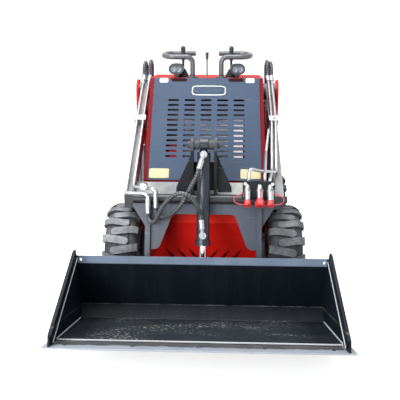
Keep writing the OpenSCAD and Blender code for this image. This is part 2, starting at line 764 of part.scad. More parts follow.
// Mast that carries the tilt cylinder
mast_ear_t = 14;
mast_room = 18;
mast_in = tilt_barrel_r + mast_room;
bush_r = 24;
barrel_eye_half = 19;
mast_web_top = 760;
mast_web_y = -70;
mast_web_t = 10;
mast_top_r = 36;
mast_foot = [-118, -22];
gusset_half = 139;
gusset_top = 800;
gusset_t = 10;
gusset_y = -75;
gusset_edge = 50;
module mast_foot_cut() {
    machine() slab(-arm_inner, arm_inner) polygon([
        cross_tube + frame_plate_t * left_of(upper_dir) - cut_reach * upper_dir,
        cross_tube - [0, cut_reach], upper_rear - [-cut_reach, cut_reach],
        upper_rear + frame_plate_t * left_of(upper_dir) + cut_reach * upper_dir
    ]);
    machine() pin_x(cross_tube, cross_tube_r, -arm_inner, arm_inner);
}
module tilt_mast() {
    color("darkslategray") difference() {
        machine() {
            both_sides() slab(mast_in, mast_in + mast_ear_t) {
                polygon([
                    [mast_foot[0], cross_tube[1]], [mast_foot[1], cross_tube[1]],
                    [tilt_pin_y + mast_top_r, tilt_pin_z], [tilt_pin_y - mast_top_r, tilt_pin_z]
                ]);
                translate(tilt_pin) circle(r = mast_top_r);
            }
            both_sides() translate([0, gusset_y, 0]) rotate([90, 0, 0]) linear_extrude(gusset_t)
                polygon([
                    [mast_in + over, cross_tube[1]], [gusset_half, cross_tube[1]],
                    [gusset_half, cross_tube[1] + gusset_edge], [mast_in + mast_ear_t, gusset_top],
                    [mast_in + over, gusset_top]
                ]);
            translate([-mast_in - over, mast_web_y, cross_tube[1]])
                cube([2 * (mast_in + over), mast_web_t, mast_web_top - cross_tube[1]]);
            both_sides() pin_x(tilt_pin, bush_r, barrel_eye_half + side_gap, mast_in + over);
            pin_x(tilt_pin, tilt_pin_r, -mast_in - 2 * mast_ear_t, mast_in + 2 * mast_ear_t);
        }
        mast_foot_cut();
    }
}

// Tilt cylinder
barrel_eye_r = 34;
gland_len = 30;
gland_extra = 4;
rod_eye_r = 28;
rod_guide = 55;
rod_room = 20;
rod_eye_half = 22;
port_r = 12;
port_reach = 54;
port_upper = 52;
port_inset = 50;
port_lower = tilt_barrel_len - port_inset;
ring_r = 17;
ring_t = 14;
stub_r = 9;
stub_len = 78;
ferrule_r = 12.5;
ferrule_len = 48;
barrel_top = 38;
// Each port's swivel ring, and the way its stub leaves it, in the tilt cylinder's frame
port_rings = [for (z = [port_upper, port_lower]) [0, -port_reach + ring_t / 2, -z]];
stub_dirs = [unit([-0.27, -0.25, -0.93]), unit([-0.1, -0.12, 1])];
module stub(place, dir) {
    translate(place) rotate([0, acos(dir[2]), atan2(dir[1], dir[0])]) {
        cylinder(r = stub_r, h = stub_len - over);
        translate([0, 0, stub_len - ferrule_len]) cylinder(r = ferrule_r, h = ferrule_len);
    }
}
module tilt_barrel() {
    color("black") tilt_frame() difference() {
        union() {
            pin_x([0, 0], barrel_eye_r, -barrel_eye_half, barrel_eye_half);
            translate([0, 0, -barrel_top - over]) cylinder(r = barrel_eye_half - over, h = barrel_top);
            translate([0, 0, -tilt_barrel_len]) cylinder(r = tilt_barrel_r, h = tilt_barrel_len - barrel_top);
            translate([0, 0, -tilt_barrel_len])
                cylinder(r = tilt_barrel_r + gland_extra, h = gland_len);
            for (i = [0, 1]) {
                translate([0, 0, port_rings[i][2]]) rotate([90, 0, 0]) {
                    cylinder(r = port_r, h = port_reach - over);
                    translate([0, 0, port_reach - ring_t]) cylinder(r = ring_r, h = ring_t);
                }
                stub(port_rings[i], stub_dirs[i]);
            }
        }
        pin_x([0, 0], tilt_pin_r + fit, -2 * tilt_barrel_r, 2 * tilt_barrel_r);
        translate([0, 0, -tilt_barrel_len - over])
            cylinder(r = tilt_rod_r + fit, h = tilt_stroke + rod_guide + rod_room + over);
    }
}
module tilt_rod() {
    rod_top = -tilt_barrel_len + tilt_stroke + rod_guide;
    color("silver") tilt_frame() {
        translate([0, 0, -tilt_len + rod_eye_r / 2])
            cylinder(r = tilt_rod_r, h = rod_top + tilt_len - rod_eye_r / 2);
        translate([0, 0, -tilt_len]) pin_x([0, 0], rod_eye_r, -rod_eye_half, rod_eye_half);
    }
}

// Lift cylinders
lift_barrel_eye_r = 28;
lift_eye_r = 24;
lift_barrel_low = bracket_half_y + 2 * side_gap;
module lift_barrel(side) {
    color("black") lift_frame(side) difference() {
        union() {
            pin_x([0, 0], lift_barrel_eye_r, -eye_half, eye_half);
            cylinder(r = eye_half - over, h = lift_barrel_low + over);
            translate([0, 0, lift_barrel_low])
                cylinder(r = lift_barrel_r, h = lift_barrel_len - lift_barrel_low);
            translate([0, 0, lift_barrel_len - gland_len])
                cylinder(r = lift_barrel_r + gland_extra / 2, h = gland_len);
        }
        pin_x([0, 0], lift_pin_r + fit, -2 * eye_half, 2 * eye_half);
        translate([0, 0, lift_barrel_len - lift_stroke - rod_guide - rod_room])
            cylinder(r = lift_rod_r + fit, h = lift_stroke + rod_guide + rod_room + over);
    }
}
module lift_rod(side) {
    rod_low = lift_barrel_len - lift_stroke - rod_guide;
    color("silver") lift_frame(side) {
        translate([0, 0, rod_low]) cylinder(r = lift_rod_r, h = lift_len - rod_low - lift_eye_r / 2);
        translate([0, 0, lift_len]) pin_x([0, 0], lift_eye_r, -eye_half, eye_half);
    }
}
module lift_barrel_left() { lift_barrel(-1); }
module lift_barrel_right() { lift_barrel(1); }
module lift_rod_left() { lift_rod(-1); }
module lift_rod_right() { lift_rod(1); }

// Bucket, with the straight sides of its ears ending inside their round ends
floor_line = [floor_front, heel, fold, back_top, flange_top];
side_corner = [-13, 28];
side_shoulder = [-38, 22];
side_front = 8;
side_front_h = 38;
strip_w = 45;
strip_t = 6;
flange_hole_inset = 20;
flange_hole_x = bucket_half - flange_hole_inset;
flange_hole_r = 6;
edge_tip = 3;
ear_bite = 0.85;
ear_in = 6;
attach_t = 14;
attach_margin = 25;
attach_half = leg_x + attach_margin;
attach_from = 20;
attach_to = 245;
ear_t = 12;
tilt_ear_in = rod_eye_half + side_gap;
module bucket_shell() {
    under = beside(floor_line, -bucket_t);
    front_low = lip + [side_front, side_front_h];
    front_high = flange_top + side_shoulder;
    inwards = -strip_w * left_of(unit(front_high - front_low));
    color("darkslategray") bucket_frame() difference() {
        union() {
            slab(-bucket_half - over, bucket_half + over) polygon(concat(floor_line, backwards(under)));
            both_sides() slab(bucket_half, bucket_half + bucket_t) polygon(concat(
                [lip + [side_front, -bucket_t]], [under[1], under[2], under[3], under[4]],
                [flange_top + side_corner, front_high, front_low]
            ));
            both_sides() slab(bucket_half - strip_t, bucket_half + over)
                polygon([front_low, front_low + inwards, front_high + inwards, front_high]);
        }
        both_sides() translate([flange_hole_x, flange_top[0] - bucket_t, flange_top[1] - lip_rise / 2])
            rotate([-90, 0, 0]) cylinder(r = flange_hole_r, h = 3 * bucket_t);
    }
}
edge_hole_x = [-526, -258, 0, 258, 526];
edge_hole_r = 9;
edge_hole_back = 46;
module cutting_edge() {
    low = lip[1] - bucket_t;
    color("dimgray") bucket_frame() difference() {
        slab(-bucket_half - bucket_t - edge_overhang, bucket_half + bucket_t + edge_overhang) polygon([
            [lip[0], low], [lip[0], low - edge_tip], [lip[0] + 2 * edge_t, low - edge_t],
            [lip[0] + edge_depth, low - edge_t], [lip[0] + edge_depth, low]
        ]);
        for (x = edge_hole_x) translate([x, lip[0] + edge_hole_back, low - 2 * edge_t])
            cylinder(r = edge_hole_r, h = 3 * edge_t);
    }
}
module ear(p, r) {
    base = fold + (bucket_t + attach_t - over) * back_normal;
    foot_low = base + (attach_from + ear_in) * back_dir;
    foot_high = base + (attach_to - ear_in) * back_dir;
    bite = ear_bite * r;
    polygon([foot_low, p - bite * back_dir, p + bite * back_normal, p + bite * back_dir, foot_high]);
    translate(p) circle(r = r);
}
module attach_plate() {
    rear = fold + bucket_t * back_normal;
    color("dimgray") bucket_frame() {
        slab(-attach_half, attach_half) polygon([
            rear + attach_from * back_dir, rear + attach_from * back_dir + attach_t * back_normal,
            rear + attach_to * back_dir + attach_t * back_normal, rear + attach_to * back_dir
        ]);
        both_sides() for (x = [leg_x - leg_t / 2 - 2 * side_gap - ear_t, leg_x + leg_t / 2 + 2 * side_gap])
            slab(x, x + ear_t) ear([0, 0], leg_boss_r);
        both_sides() pin_x([0, 0], bucket_pin_r, leg_x - leg_t / 2 - 2 * side_gap - ear_t - over,
            leg_x + leg_t / 2 + 2 * side_gap + ear_t + over);
        both_sides() slab(tilt_ear_in, tilt_ear_in + ear_t) ear(tilt_eye_local, rod_eye_r);
        both_sides()
            pin_x(tilt_eye_local, bucket_pin_r, tilt_ear_in + ear_t / 2, tilt_ear_in + ear_t + pin_head);
    }
}

// Pipes on the arms, in the arm's frame: their places across, and where each ends at the front
pipe_r = 8;
pipe_rise = 22;
pipe_z = arm_h / 2 + pipe_rise;
outer_shift = 13;
inner_shift = 22;
middle_shift = 9;
third_shift = 31;
left_pipes = [-arm_x - outer_shift, -arm_x + inner_shift];
right_pipes = [arm_x + outer_shift, arm_x - middle_shift, arm_x - third_shift];
front_steps = [40, 80, 120];
function pipe_front(i) = -arm_len + front_steps[i];
pipe_rear = 20;
third_rear = -425;
nut_r = 10.8;
nut_len = 34;
module pipe_run(x, front, rear) {
    arm_frame() translate([x, front, pipe_z]) rotate([-90, 0, 0]) cylinder(r = pipe_r, h = rear - front);
    arm_frame() translate([x, rear - nut_len, pipe_z]) rotate([-90, 0, 0])
        cylinder(r = nut_r, h = nut_len, $fn = 6);
}
module pipes_left() {
    color("gainsboro") for (i = [0, 1]) pipe_run(left_pipes[i], pipe_front(i), pipe_rear);
}
module pipes_right() {
    color("gainsboro") {
        for (i = [0, 1]) pipe_run(right_pipes[i], pipe_front(i), pipe_rear);
        pipe_run(right_pipes[2], pipe_front(2), third_rear);
    }
}
clamp_len = 40;
clamp_wall = 6;
clamp_places = [-340];
module pipe_clamp(xs, y) {
    low = min(xs) - pipe_r - clamp_wall;
    difference() {
        translate([low, y - clamp_len / 2, arm_h / 2])
            cube([max(xs) + pipe_r + clamp_wall - low, clamp_len, pipe_rise + pipe_r + clamp_wall]);
        for (x = xs) translate([x, y - clamp_len, pipe_z]) rotate([-90, 0, 0])
            cylinder(r = pipe_r, h = 2 * clamp_len);
    }
}
module pipe_clamps() {
    color("gray") arm_frame() for (y = clamp_places) {
        pipe_clamp(left_pipes, y);
        pipe_clamp(y < third_rear ? right_pipes : [right_pipes[0], right_pipes[1]], y);
    }
}
// The pipes' bent front ends, as points counted from the front axle
bend_r = 24;
bend_steps = 5;
pipe_sides = 14;
bend_lead = 36;
function spot(x, p) = [x, p[0], p[1]];
function front_end(i) = pivot + turned([pipe_front(i), pipe_z], arm_angle);
pipe_dir = turned([-1, 0], arm_angle);
drop_y = -192;
drop_insets = [105, 143];
drop_tops = [628, 652];
drop_lows = [531, 561];
left_drops = [for (i = [0, 1]) [drop_insets[i] - arm_x, drop_y, drop_tops[i]]];
left_ends = [for (i = [0, 1]) [drop_insets[i] - arm_x, drop_y, drop_lows[i]]];
cup_len = 72;
module pipe_end(x, i, points) {
    start = spot(x, front_end(i));
    hose(bent(concat([start, spot(x, front_end(i) + bend_lead * pipe_dir)], points), bend_r, bend_steps),
        pipe_r, pipe_sides);
}
module pipe_ends_left() {
    color("gainsboro") machine() for (i = [0, 1]) {
        pipe_end(left_pipes[i], i, [left_drops[i], left_ends[i] + [0, 0, over]]);
        translate(left_ends[i]) cylinder(r = ferrule_r, h = cup_len);
        translate(left_ends[i] + [0, 0, cup_len - over]) cylinder(r = nut_r, h = nut_len / 2, $fn = 6);
    }
}
// Couplers for attachments
coupler_insets = [163, 103, 53];
coupler_places = [for (inset = coupler_insets) arm_x - inset];
bracket_insets = [185, 30];
bracket_x0 = arm_x - bracket_insets[0];
bracket_x1 = arm_x - bracket_insets[1];
bracket_low = 608;
bracket_high = 694;
bracket_y = -185;
bracket_t = 8;
bracket_rear = -100;
coupler_r = 15;
coupler_len = 60;
coupler_lean = 50;
coupler_root = 20;
coupler_z = 655;
collar_r = 17;
collar_low = 14;
collar_len = 22;
cap_r = 19;
cap_len = 28;
cap_rim = 4;
cap_rim_len = 9;
// The pipes behind the bracket: each comes across and then forward to its coupler
turn_places = [-130, -100, -75];
right_turns = [for (i = [0:2]) [coupler_places[2 - i], turn_places[i], coupler_z]];
module pipe_ends_right() {
    color("gainsboro") machine() for (i = [0:2])
        pipe_end(right_pipes[i], i, [right_turns[i], [right_turns[i][0], bracket_y + bracket_t, coupler_z]]);
}
module coupler_bracket() {
    color("black") difference() {
        machine() {
            translate([bracket_x0, bracket_y, bracket_low])
                cube([bracket_x1 - bracket_x0, bracket_t, bracket_high - bracket_low]);
            translate([bracket_x0, bracket_y, bracket_low])
                cube([bracket_x1 - bracket_x0, bracket_rear - bracket_y, bracket_t]);
        }
        mast_foot_cut();
    }
}
module coupler_at(x) {
    machine() translate([x, bracket_y, coupler_z]) rotate([90 + coupler_lean, 0, 0]) children();
}
module couplers() {
    color("gainsboro") difference() {
        for (x = coupler_places) coupler_at(x) translate([0, 0, -coupler_root])
            union() {
                cylinder(r = coupler_r, h = coupler_len + coupler_root);
                translate([0, 0, coupler_root + collar_low]) cylinder(r = collar_r, h = collar_len);
            }
        machine() translate([bracket_x0 - over, bracket_y, bracket_low - cut_reach])
            cube([bracket_x1 - bracket_x0 + 2 * over, cut_reach, 2 * cut_reach]);
    }
}
module dust_caps() {
    color("red") for (x = coupler_places) coupler_at(x) translate([0, 0, coupler_len]) {
        cylinder(r = cap_r, h = cap_len);
        translate([0, 0, cap_len - cap_rim_len]) cylinder(r = cap_r + cap_rim, h = cap_rim_len);
    }
}

// Hoses, as points chosen along their routes, counted from the front axle
hose_r = 11;
hose_sides = 10;
hose_steps = 3;
// Past the arm pivot: from the pipe's end over an arch down onto the shelf behind the tower
pipe_rear_end = pivot + turned([pipe_rear, pipe_z], arm_angle);
pipe_rear_dir = turned([1, 0], arm_angle);
shelf_place = [pivot_y + tower_web_y + hose_shelf_depth / 2, tower_web_top + tower_base_t];
hose_lead = 30;
// Gap that keeps a hose clear of the fitting on the other body
hose_gap = 0.5;
function pivot_route(x, out) = let (s = sign(x)) [
    spot(x, pipe_rear_end + hose_gap * pipe_rear_dir), spot(x, pipe_rear_end + hose_lead * pipe_rear_dir),
    [x, 684, 1172], [x - s * 4, 716, 1206 + out], [x - s * 6, 750, 1190 + out], [x - s * 4, 766, 1130],
    [x, 766, 1030], spot(x, shelf_place + [0, hose_lead]), spot(x, shelf_place)
];
module pivot_hose(x, out) {
    color("black") machine() hose(eased(pivot_route(x, out), hose_steps), hose_r, hose_sides);
}
module pivot_hose_left_outer() { pivot_hose(left_pipes[0], 0); }
module pivot_hose_left_inner() { pivot_hose(left_pipes[1], 8); }
module pivot_hose_right_outer() { pivot_hose(right_pipes[0], 0); }
module pivot_hose_right_inner() { pivot_hose(right_pipes[1], 8); }

// From the left pipes to the two ports of the tilt barrel: down, round a turn and up in front of the barrel
tilt_lead = 22;
function tilt_spot(p) = spot(p[0], tilt_pin + turned([p[1], p[2]], -tilt_angle));
function stub_at(i, d) = tilt_spot(port_rings[i] + (stub_len + d) * stub_dirs[i]);
function tilt_route(i, points, port) = concat(
    [left_ends[i], left_ends[i] - [0, 0, tilt_lead]], points,
    [stub_at(port, tilt_lead), stub_at(port, hose_gap)]
);
tilt_lower_points = [
    [-258, -210, 490], [-236, -226, 497], [-212, -240, 540], [-181, -252, 597], [-145, -262, 636],
    [-108, -272, 655], [-75, -278, 650], [-42, -280, 622], [-20, -278, 582]
];
tilt_upper_points = [
    [-225, -197, 516], [-207, -202, 507], [-184, -212, 515], [-158, -227, 534], [-130, -237, 560],
    [-104, -242, 592], [-78, -241, 638], [-54, -231, 684], [-37, -220, 715]
];
module tilt_hose(route) { color("black") machine() hose(eased(route, hose_steps), hose_r, hose_sides); }
module tilt_hose_upper() { tilt_hose(tilt_route(1, tilt_upper_points, 0)); }
module tilt_hose_lower() { tilt_hose(tilt_route(0, tilt_lower_points, 1)); }

chassis_frame();
lift_brackets();
hood();
hood_panel();
engine_block();
rear_door();
arm_towers();
platform();
grab_handles();
lamp_housings();
lamp_lenses();
joysticks();
throttle_lever();
wheel_motors();
arm_left();
arm_right();
cross_frame();
tilt_mast();
pipes_left();
pipes_right();
pipe_clamps();
pipe_ends_left();
pipe_ends_right();
coupler_bracket();
couplers();
dust_caps();
tilt_barrel();
tilt_rod();
lift_barrel_left();
lift_barrel_right();
lift_rod_left();
lift_rod_right();
attach_plate();
bucket_shell();
cutting_edge();
tyre_front_left();
tyre_front_right();
tyre_rear_left();
tyre_rear_right();
rim_front_left();
rim_front_right();
rim_rear_left();
rim_rear_right();
pivot_hose_left_outer();
pivot_hose_left_inner();
pivot_hose_right_outer();
pivot_hose_right_inner();
tilt_hose_upper();
tilt_hose_lower();
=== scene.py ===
# %% [markdown]
# A stand-on mini loader, dressed for a photograph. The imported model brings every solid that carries
# load or moves. This lesson adds what solids leave plain: paint and dust, hoses with their spiral
# wrap, weld beads, bolts and lamps. Each new piece is a surface: a formula of two parameters laid
# over a grid, or a profile carried along a path.

# %% Load the frame
import json
import math

import bpy
import numpy as np
from mathutils import Matrix


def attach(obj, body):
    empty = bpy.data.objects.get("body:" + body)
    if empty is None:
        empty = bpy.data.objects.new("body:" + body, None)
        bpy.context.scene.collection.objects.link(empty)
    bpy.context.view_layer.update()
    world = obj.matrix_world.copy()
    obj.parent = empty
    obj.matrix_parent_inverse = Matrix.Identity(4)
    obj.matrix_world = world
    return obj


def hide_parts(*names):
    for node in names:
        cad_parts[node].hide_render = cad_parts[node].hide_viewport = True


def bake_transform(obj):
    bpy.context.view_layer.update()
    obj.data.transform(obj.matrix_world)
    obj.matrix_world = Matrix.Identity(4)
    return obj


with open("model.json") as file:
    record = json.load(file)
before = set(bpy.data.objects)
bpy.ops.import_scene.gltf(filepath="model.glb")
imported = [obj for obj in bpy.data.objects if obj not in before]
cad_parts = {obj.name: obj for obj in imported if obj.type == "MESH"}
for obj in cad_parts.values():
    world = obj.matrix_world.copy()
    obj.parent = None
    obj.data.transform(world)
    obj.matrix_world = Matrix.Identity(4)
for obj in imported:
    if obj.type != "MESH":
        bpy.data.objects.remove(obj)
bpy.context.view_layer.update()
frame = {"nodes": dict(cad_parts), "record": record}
NODES = frame["nodes"]
JOINTS = {joint["name"]: joint for joint in frame["record"]["behaviour"]["joints"]}
scene = bpy.context.scene

# %% [markdown]
# Most places on the machine are easiest to count from the front axle, on the ground, as its maker
# would. The wheel joint says where that axle is in the frame. The arms, the bucket and the tilt
# barrel have frames of their own, turned about their pins, and the sloping panel has one that runs
# up its face.

# %% Places
AXLE_Y = JOINTS["wheel_front_left_spin"]["pos_m"][1]
PIVOT = np.array(JOINTS["lift"]["pos_m"])
BUCKET_PIN = np.array(JOINTS["tilt"]["pos_m"])
TILT_PIN = np.array(JOINTS["tilt_barrel_swing"]["pos_m"])
TILT_DIR = np.array(JOINTS["tilt_rod_slide"]["axis"], float)
TILT_ANGLE = math.atan2(-TILT_DIR[1], -TILT_DIR[2])
ARM_ANGLE = math.atan2(0.480, 0.760)
BUCKET_ROLL = math.radians(-16.7)
SLOPE_ANGLE = math.atan2(0.493, 0.410)
SLOPE_FOOT = np.array([0.0, 0.026 + AXLE_Y, 0.640])
WHEELBASE = 0.715
TYRE_R = 0.254
TRACK_HALF = 0.417
SIDES = {"left": -1, "right": 1}
ACROSS, BEHIND, AHEAD, UPWARD = (1, 0, 0), (0, 1, 0), (0, -1, 0), (0, 0, 1)


def at(points):
    """Points counted in metres from the front axle, moved into the frame."""
    return np.asarray(points, float) + [0.0, AXLE_Y, 0.0]


def turned(points, angle, origin):
    """Points of a frame that is turned about X by an angle and then set at an origin."""
    x, y, z = np.moveaxis(np.asarray(points, float), -1, 0)
    c, s = math.cos(angle), math.sin(angle)
    return np.stack([x, y * c - z * s, y * s + z * c], -1) + origin


def on_arm(points):
    """Arm frame: Y along the arm from its pivot, Z square to it."""
    return turned(points, ARM_ANGLE, PIVOT)


def on_bucket(points):
    """Bucket frame: Y back along the floor, Z square to it, the pin at the origin."""
    return turned(points, BUCKET_ROLL, BUCKET_PIN)


def on_barrel(points):
    """Tilt barrel frame: Z along the barrel, the pin at its head at the origin."""
    return turned(points, -TILT_ANGLE, TILT_PIN)


def on_slope(points):
    """Panel frame: X across, Y up along the slope, Z out of its face."""
    return turned(points, SLOPE_ANGLE, SLOPE_FOOT)


print("front axle at", round(AXLE_Y, 4), "pivot", PIVOT.round(3))

# %% [markdown]
# The photographer stood in front, a little to the right, and looked down on the bucket. The camera
# is built from where they stood and from three small turns, with no lens blur.

# %% Camera
CAMERA_PLACE = tuple(at([0.0659, -2.6894, 1.3555]))
CAMERA_YAW = -0.0328
CAMERA_PITCH = 0.2937
CAMERA_ROLL = 0.0024
SENSOR = 36.0
FOCAL_PIXELS = 537.6
FRAME_PIXELS = 400
VIEW_END = 100.0


def camera_axes(yaw, pitch, roll):
    """Right, up and forward: forward from yaw and pitch, then right and up turned by the roll."""
    level = math.cos(pitch)
    forward = np.array([math.sin(yaw) * level, math.cos(yaw) * level, -math.sin(pitch)])
    right = np.array([math.cos(yaw), -math.sin(yaw), 0.0])
    up = np.cross(right, forward)
    rolled_right = math.cos(roll) * right + math.sin(roll) * up
    rolled_up = math.cos(roll) * up - math.sin(roll) * right
    return rolled_right, rolled_up, forward


def placed(place, right, up, back):
    """The matrix that sets a camera or a lamp at a place; each looks away from its back."""
    return Matrix.Translation(place) @ Matrix(np.stack([right, up, back], 1).tolist()).to_4x4()


right, up, forward = camera_axes(CAMERA_YAW, CAMERA_PITCH, CAMERA_ROLL)
lens = bpy.data.cameras.new("photo_camera")
lens.sensor_width = SENSOR
lens.lens = SENSOR * FOCAL_PIXELS / FRAME_PIXELS
lens.clip_end = VIEW_END
lens.dof.use_dof = False
camera = bpy.data.objects.new("photo_camera", lens)
camera.matrix_world = placed(CAMERA_PLACE, right, up, -forward)
scene.collection.objects.link(camera)
scene.camera = camera
scene.view_settings.view_transform = "Standard"
print("lens", round(lens.lens, 2), "mm")

# %% [markdown]
# Every added surface starts as a grid of points whose columns close into rings. A cell of the grid
# becomes two triangles, points that fall together are joined so that seams and poles close, and a
# surface that came out inside out is turned round. The work is done on whole arrays, so a hose with
# its wrap costs no more code than a plate.

# %% Surfaces from grids
SMOOTH_LIMIT = math.radians(40)
SAME_DIGITS = 7
PLATE_SIDES = 64
PLATE_BEVEL = 0.0008
dressed = []


def unit(vectors):
    """Vectors divided by their lengths."""
    vectors = np.asarray(vectors, float)
    return vectors / np.linalg.norm(vectors, axis=-1, keepdims=True)


def ring_angles(sides):
    """Angles of the corners round a ring."""
    return np.linspace(0, 2 * np.pi, sides, endpoint=False)


def grid_faces(points):
    """Triangles over a grid of points, whose rows run along the surface and columns close round it."""
    rows, cols = points.shape[:2]
    i, j = np.meshgrid(np.arange(rows - 1), np.arange(cols), indexing="ij")
    after = (j + 1) % cols
    a, b = i * cols + j, (i + 1) * cols + j
    c, d = (i + 1) * cols + after, i * cols + after
    cells = [np.stack([a, b, c], -1), np.stack([a, c, d], -1)]
    faces = np.concatenate([cell.reshape(-1, 3) for cell in cells])
    flat = points.reshape(-1, 3).round(SAME_DIGITS)
    spots, home = np.unique(flat, axis=0, return_inverse=True)
    faces = home.reshape(-1)[faces]
    faces = faces[(faces != np.roll(faces, 1, axis=1)).all(1)]
    corners = spots[faces] - spots.mean(0)
    volume = np.einsum("ij,ij->", corners[:, 0], np.cross(corners[:, 1], corners[:, 2]))
    return spots, faces[:, ::-1] if volume < 0 else faces


def joined(parts):
    """Several (points, faces) parts as one."""
    starts = np.cumsum([0] + [len(points) for points, _ in parts])
    points = np.concatenate([points for points, _ in parts])
    faces = np.concatenate([faces + start for (_, faces), start in zip(parts, starts)])
    return points, faces


def make(name, parts, slot, body=None, look=None):
    """One object from parts: its slot, the body it rides on, and a look of its own if any."""
    points, faces = joined(parts)
    mesh = bpy.data.meshes.new(name)
    mesh.vertices.add(len(points))
    mesh.vertices.foreach_set("co", points.ravel())
    mesh.loops.add(faces.size)
    mesh.loops.foreach_set("vertex_index", faces.astype(np.int32).ravel())
    mesh.polygons.add(len(faces))
    mesh.polygons.foreach_set("loop_start", np.arange(0, faces.size, 3, dtype=np.int32))
    mesh.update(calc_edges=True)
    mesh.shade_smooth()
    mesh.set_sharp_from_angle(angle=SMOOTH_LIMIT)
    piece = bpy.data.objects.new(name, mesh)
    scene.collection.objects.link(piece)
    dressed.append((piece, look or slot))
    if body:
        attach(piece, body)
    return piece


def copies(part, places):
    """The same part at many places."""
    points, faces = part
    return joined([(points + place, faces) for place in np.asarray(places, float)])


def swept(path, across, radius, sides):
    """A round profile carried along a path: centre plus radius times a ring of directions.

    Two vectors square to the path span each ring, and the first leans as far as it can to a given one.
    """
    across = np.asarray(across, float)
    along = unit(np.gradient(path, axis=0))
    first = unit(across - along * (along @ across)[:, None])
    second = np.cross(along, first)
    angle = ring_angles(sides)[:, None]
    ring = np.cos(angle) * first[:, None] + np.sin(angle) * second[:, None]
    radius = np.broadcast_to(radius, (len(path), sides))[..., None]
    ends = [np.repeat(path[[k]], sides, 0)[None] for k in (0, -1)]
    return grid_faces(np.concatenate([ends[0], path[:, None] + radius * ring, ends[1]]))


def revolved(profile, place, axis, sides=32, flats=0):
    """A profile of (radius, distance) turned about an axis; flats cut it to a polygon like a nut."""
    profile = np.asarray(profile, float)
    axis = unit(axis)
    first = unit(np.cross(axis, np.eye(3)[np.argmin(np.abs(axis))]))
    second = np.cross(axis, first)
    angle = ring_angles(sides)[:, None]
    ring = np.cos(angle) * first + np.sin(angle) * second
    if flats:
        half = np.pi / flats
        ring *= math.cos(half) / np.cos((angle + half) % (2 * half) - half)
    return grid_faces(profile[:, :1, None] * ring + profile[:, 1:, None] * axis + place)


def plate(width, height, corner, thickness):
    """The grid of a thin plate: a superellipse shrunk to its middle, then carried down its edge."""
    angle = ring_angles(PLATE_SIDES)
    power = min(width, height) / corner
    c, s = np.cos(angle), np.sin(angle)
    reach = (np.abs(c) ** power + np.abs(s) ** power) ** (-1 / power)
    rim = np.stack([width / 2 * c * reach, height / 2 * s * reach], -1)
    shrink = 1 - PLATE_BEVEL / min(width, height) * 2
    top = [(0, thickness), (0.6, thickness), (shrink, thickness)]
    edge = [(1, thickness - PLATE_BEVEL), (1, 0), (0, 0)]
    return np.stack([np.column_stack([rim * k, np.full(PLATE_SIDES, z)]) for k, z in top + edge])


print("surface makers ready")

# %% [markdown]
# The hoses are the most lively lines of the machine. Each is a rubber tube with a plastic spiral
# wound round it, so its radius rises in a ridge that climbs along the hose. The route is a smooth
# curve through chosen points: a natural cubic, whose bends fall between the points without a kink,
# as a springy hose lies. A hose crosses a joint, so one end follows one body, the other end the
# next, and the middle bends.

# %% Hoses
HOSE_R = 0.011
HOSE_SIDES = 20
HOSE_STEP = 0.0025
HOSE_LEAD = 0.030
HOSE_GAP = 0.0005
WRAP_PITCH = 0.014
WRAP_HEIGHT = 0.09
WRAP_LOW, WRAP_HIGH = -0.2, 0.6


def natural_curve(points, step):
    """A natural cubic over chord length; its second derivatives solve one linear system."""
    points = np.asarray(points, float)
    gaps = np.linalg.norm(np.diff(points, axis=0), axis=1)
    spot = np.concatenate([[0], np.cumsum(gaps)])
    count = len(points)
    system = np.eye(count)
    known = np.zeros((count, 3))
    inner = np.arange(1, count - 1)
    system[inner, inner] = 2 * (gaps[:-1] + gaps[1:])
    system[inner, inner - 1] = gaps[:-1]
    system[inner, inner + 1] = gaps[1:]
    slope = np.diff(points, axis=0) / gaps[:, None]
    known[inner] = 6 * np.diff(slope, axis=0)
    bend = np.linalg.solve(system, known)
    t = np.linspace(0, spot[-1], int(spot[-1] / step) + 1)
    k = np.clip(np.searchsorted(spot, t, side="right") - 1, 0, count - 2)
    h = gaps[k][:, None]
    a, b = (spot[k + 1] - t)[:, None], (t - spot[k])[:, None]
    cubes = (bend[k] * a ** 3 + bend[k + 1] * b ** 3) / (6 * h)
    before = (points[k] / h - bend[k] * h / 6) * a
    return cubes + before + (points[k + 1] / h - bend[k + 1] * h / 6) * b


def wrapped_hose(name, route, across):
    """A hose whose radius is r times (1 + ridge of the angle less the turns wound so far)."""
    path = natural_curve(route, HOSE_STEP)
    run = np.concatenate([[0], np.cumsum(np.linalg.norm(np.diff(path, axis=0), axis=1))])
    angle = np.linspace(0, 1, HOSE_SIDES, endpoint=False)
    phase = np.cos(2 * np.pi * (angle[None] - run[:, None] / WRAP_PITCH))
    radius = HOSE_R * (1 + WRAP_HEIGHT * (np.clip(phase, WRAP_LOW, WRAP_HIGH) - WRAP_HIGH))
    points, faces = swept(path, across, radius, HOSE_SIDES)
    piece = make(name + "_wrapped", [(points, faces)], "hose_rubber")
    away = np.linalg.norm(points[:, None] - path[None], axis=2).min(1) / HOSE_R
    ridge = np.clip(1 - (1 - away) / ((WRAP_HIGH - WRAP_LOW) * WRAP_HEIGHT), 0, 1)
    carried = piece.data.attributes.new("ridge", "FLOAT", "POINT")
    carried.data.foreach_set("value", ridge.astype(np.float32))
    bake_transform(piece)
    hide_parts(name)
    print(name, "length", round(float(run[-1]), 3))


# Past the arm pivot: from the pipe's end over an arch down onto the shelf behind the tower
PIPE_RISE = 0.067
PIPE_REAR = 0.020
SHELF = (0.764, 0.900)
PIVOT_HOSES = {"left_outer": (-0.388, 0.0), "left_inner": (-0.353, 0.008),
               "right_outer": (0.388, 0.0), "right_inner": (0.366, 0.008)}
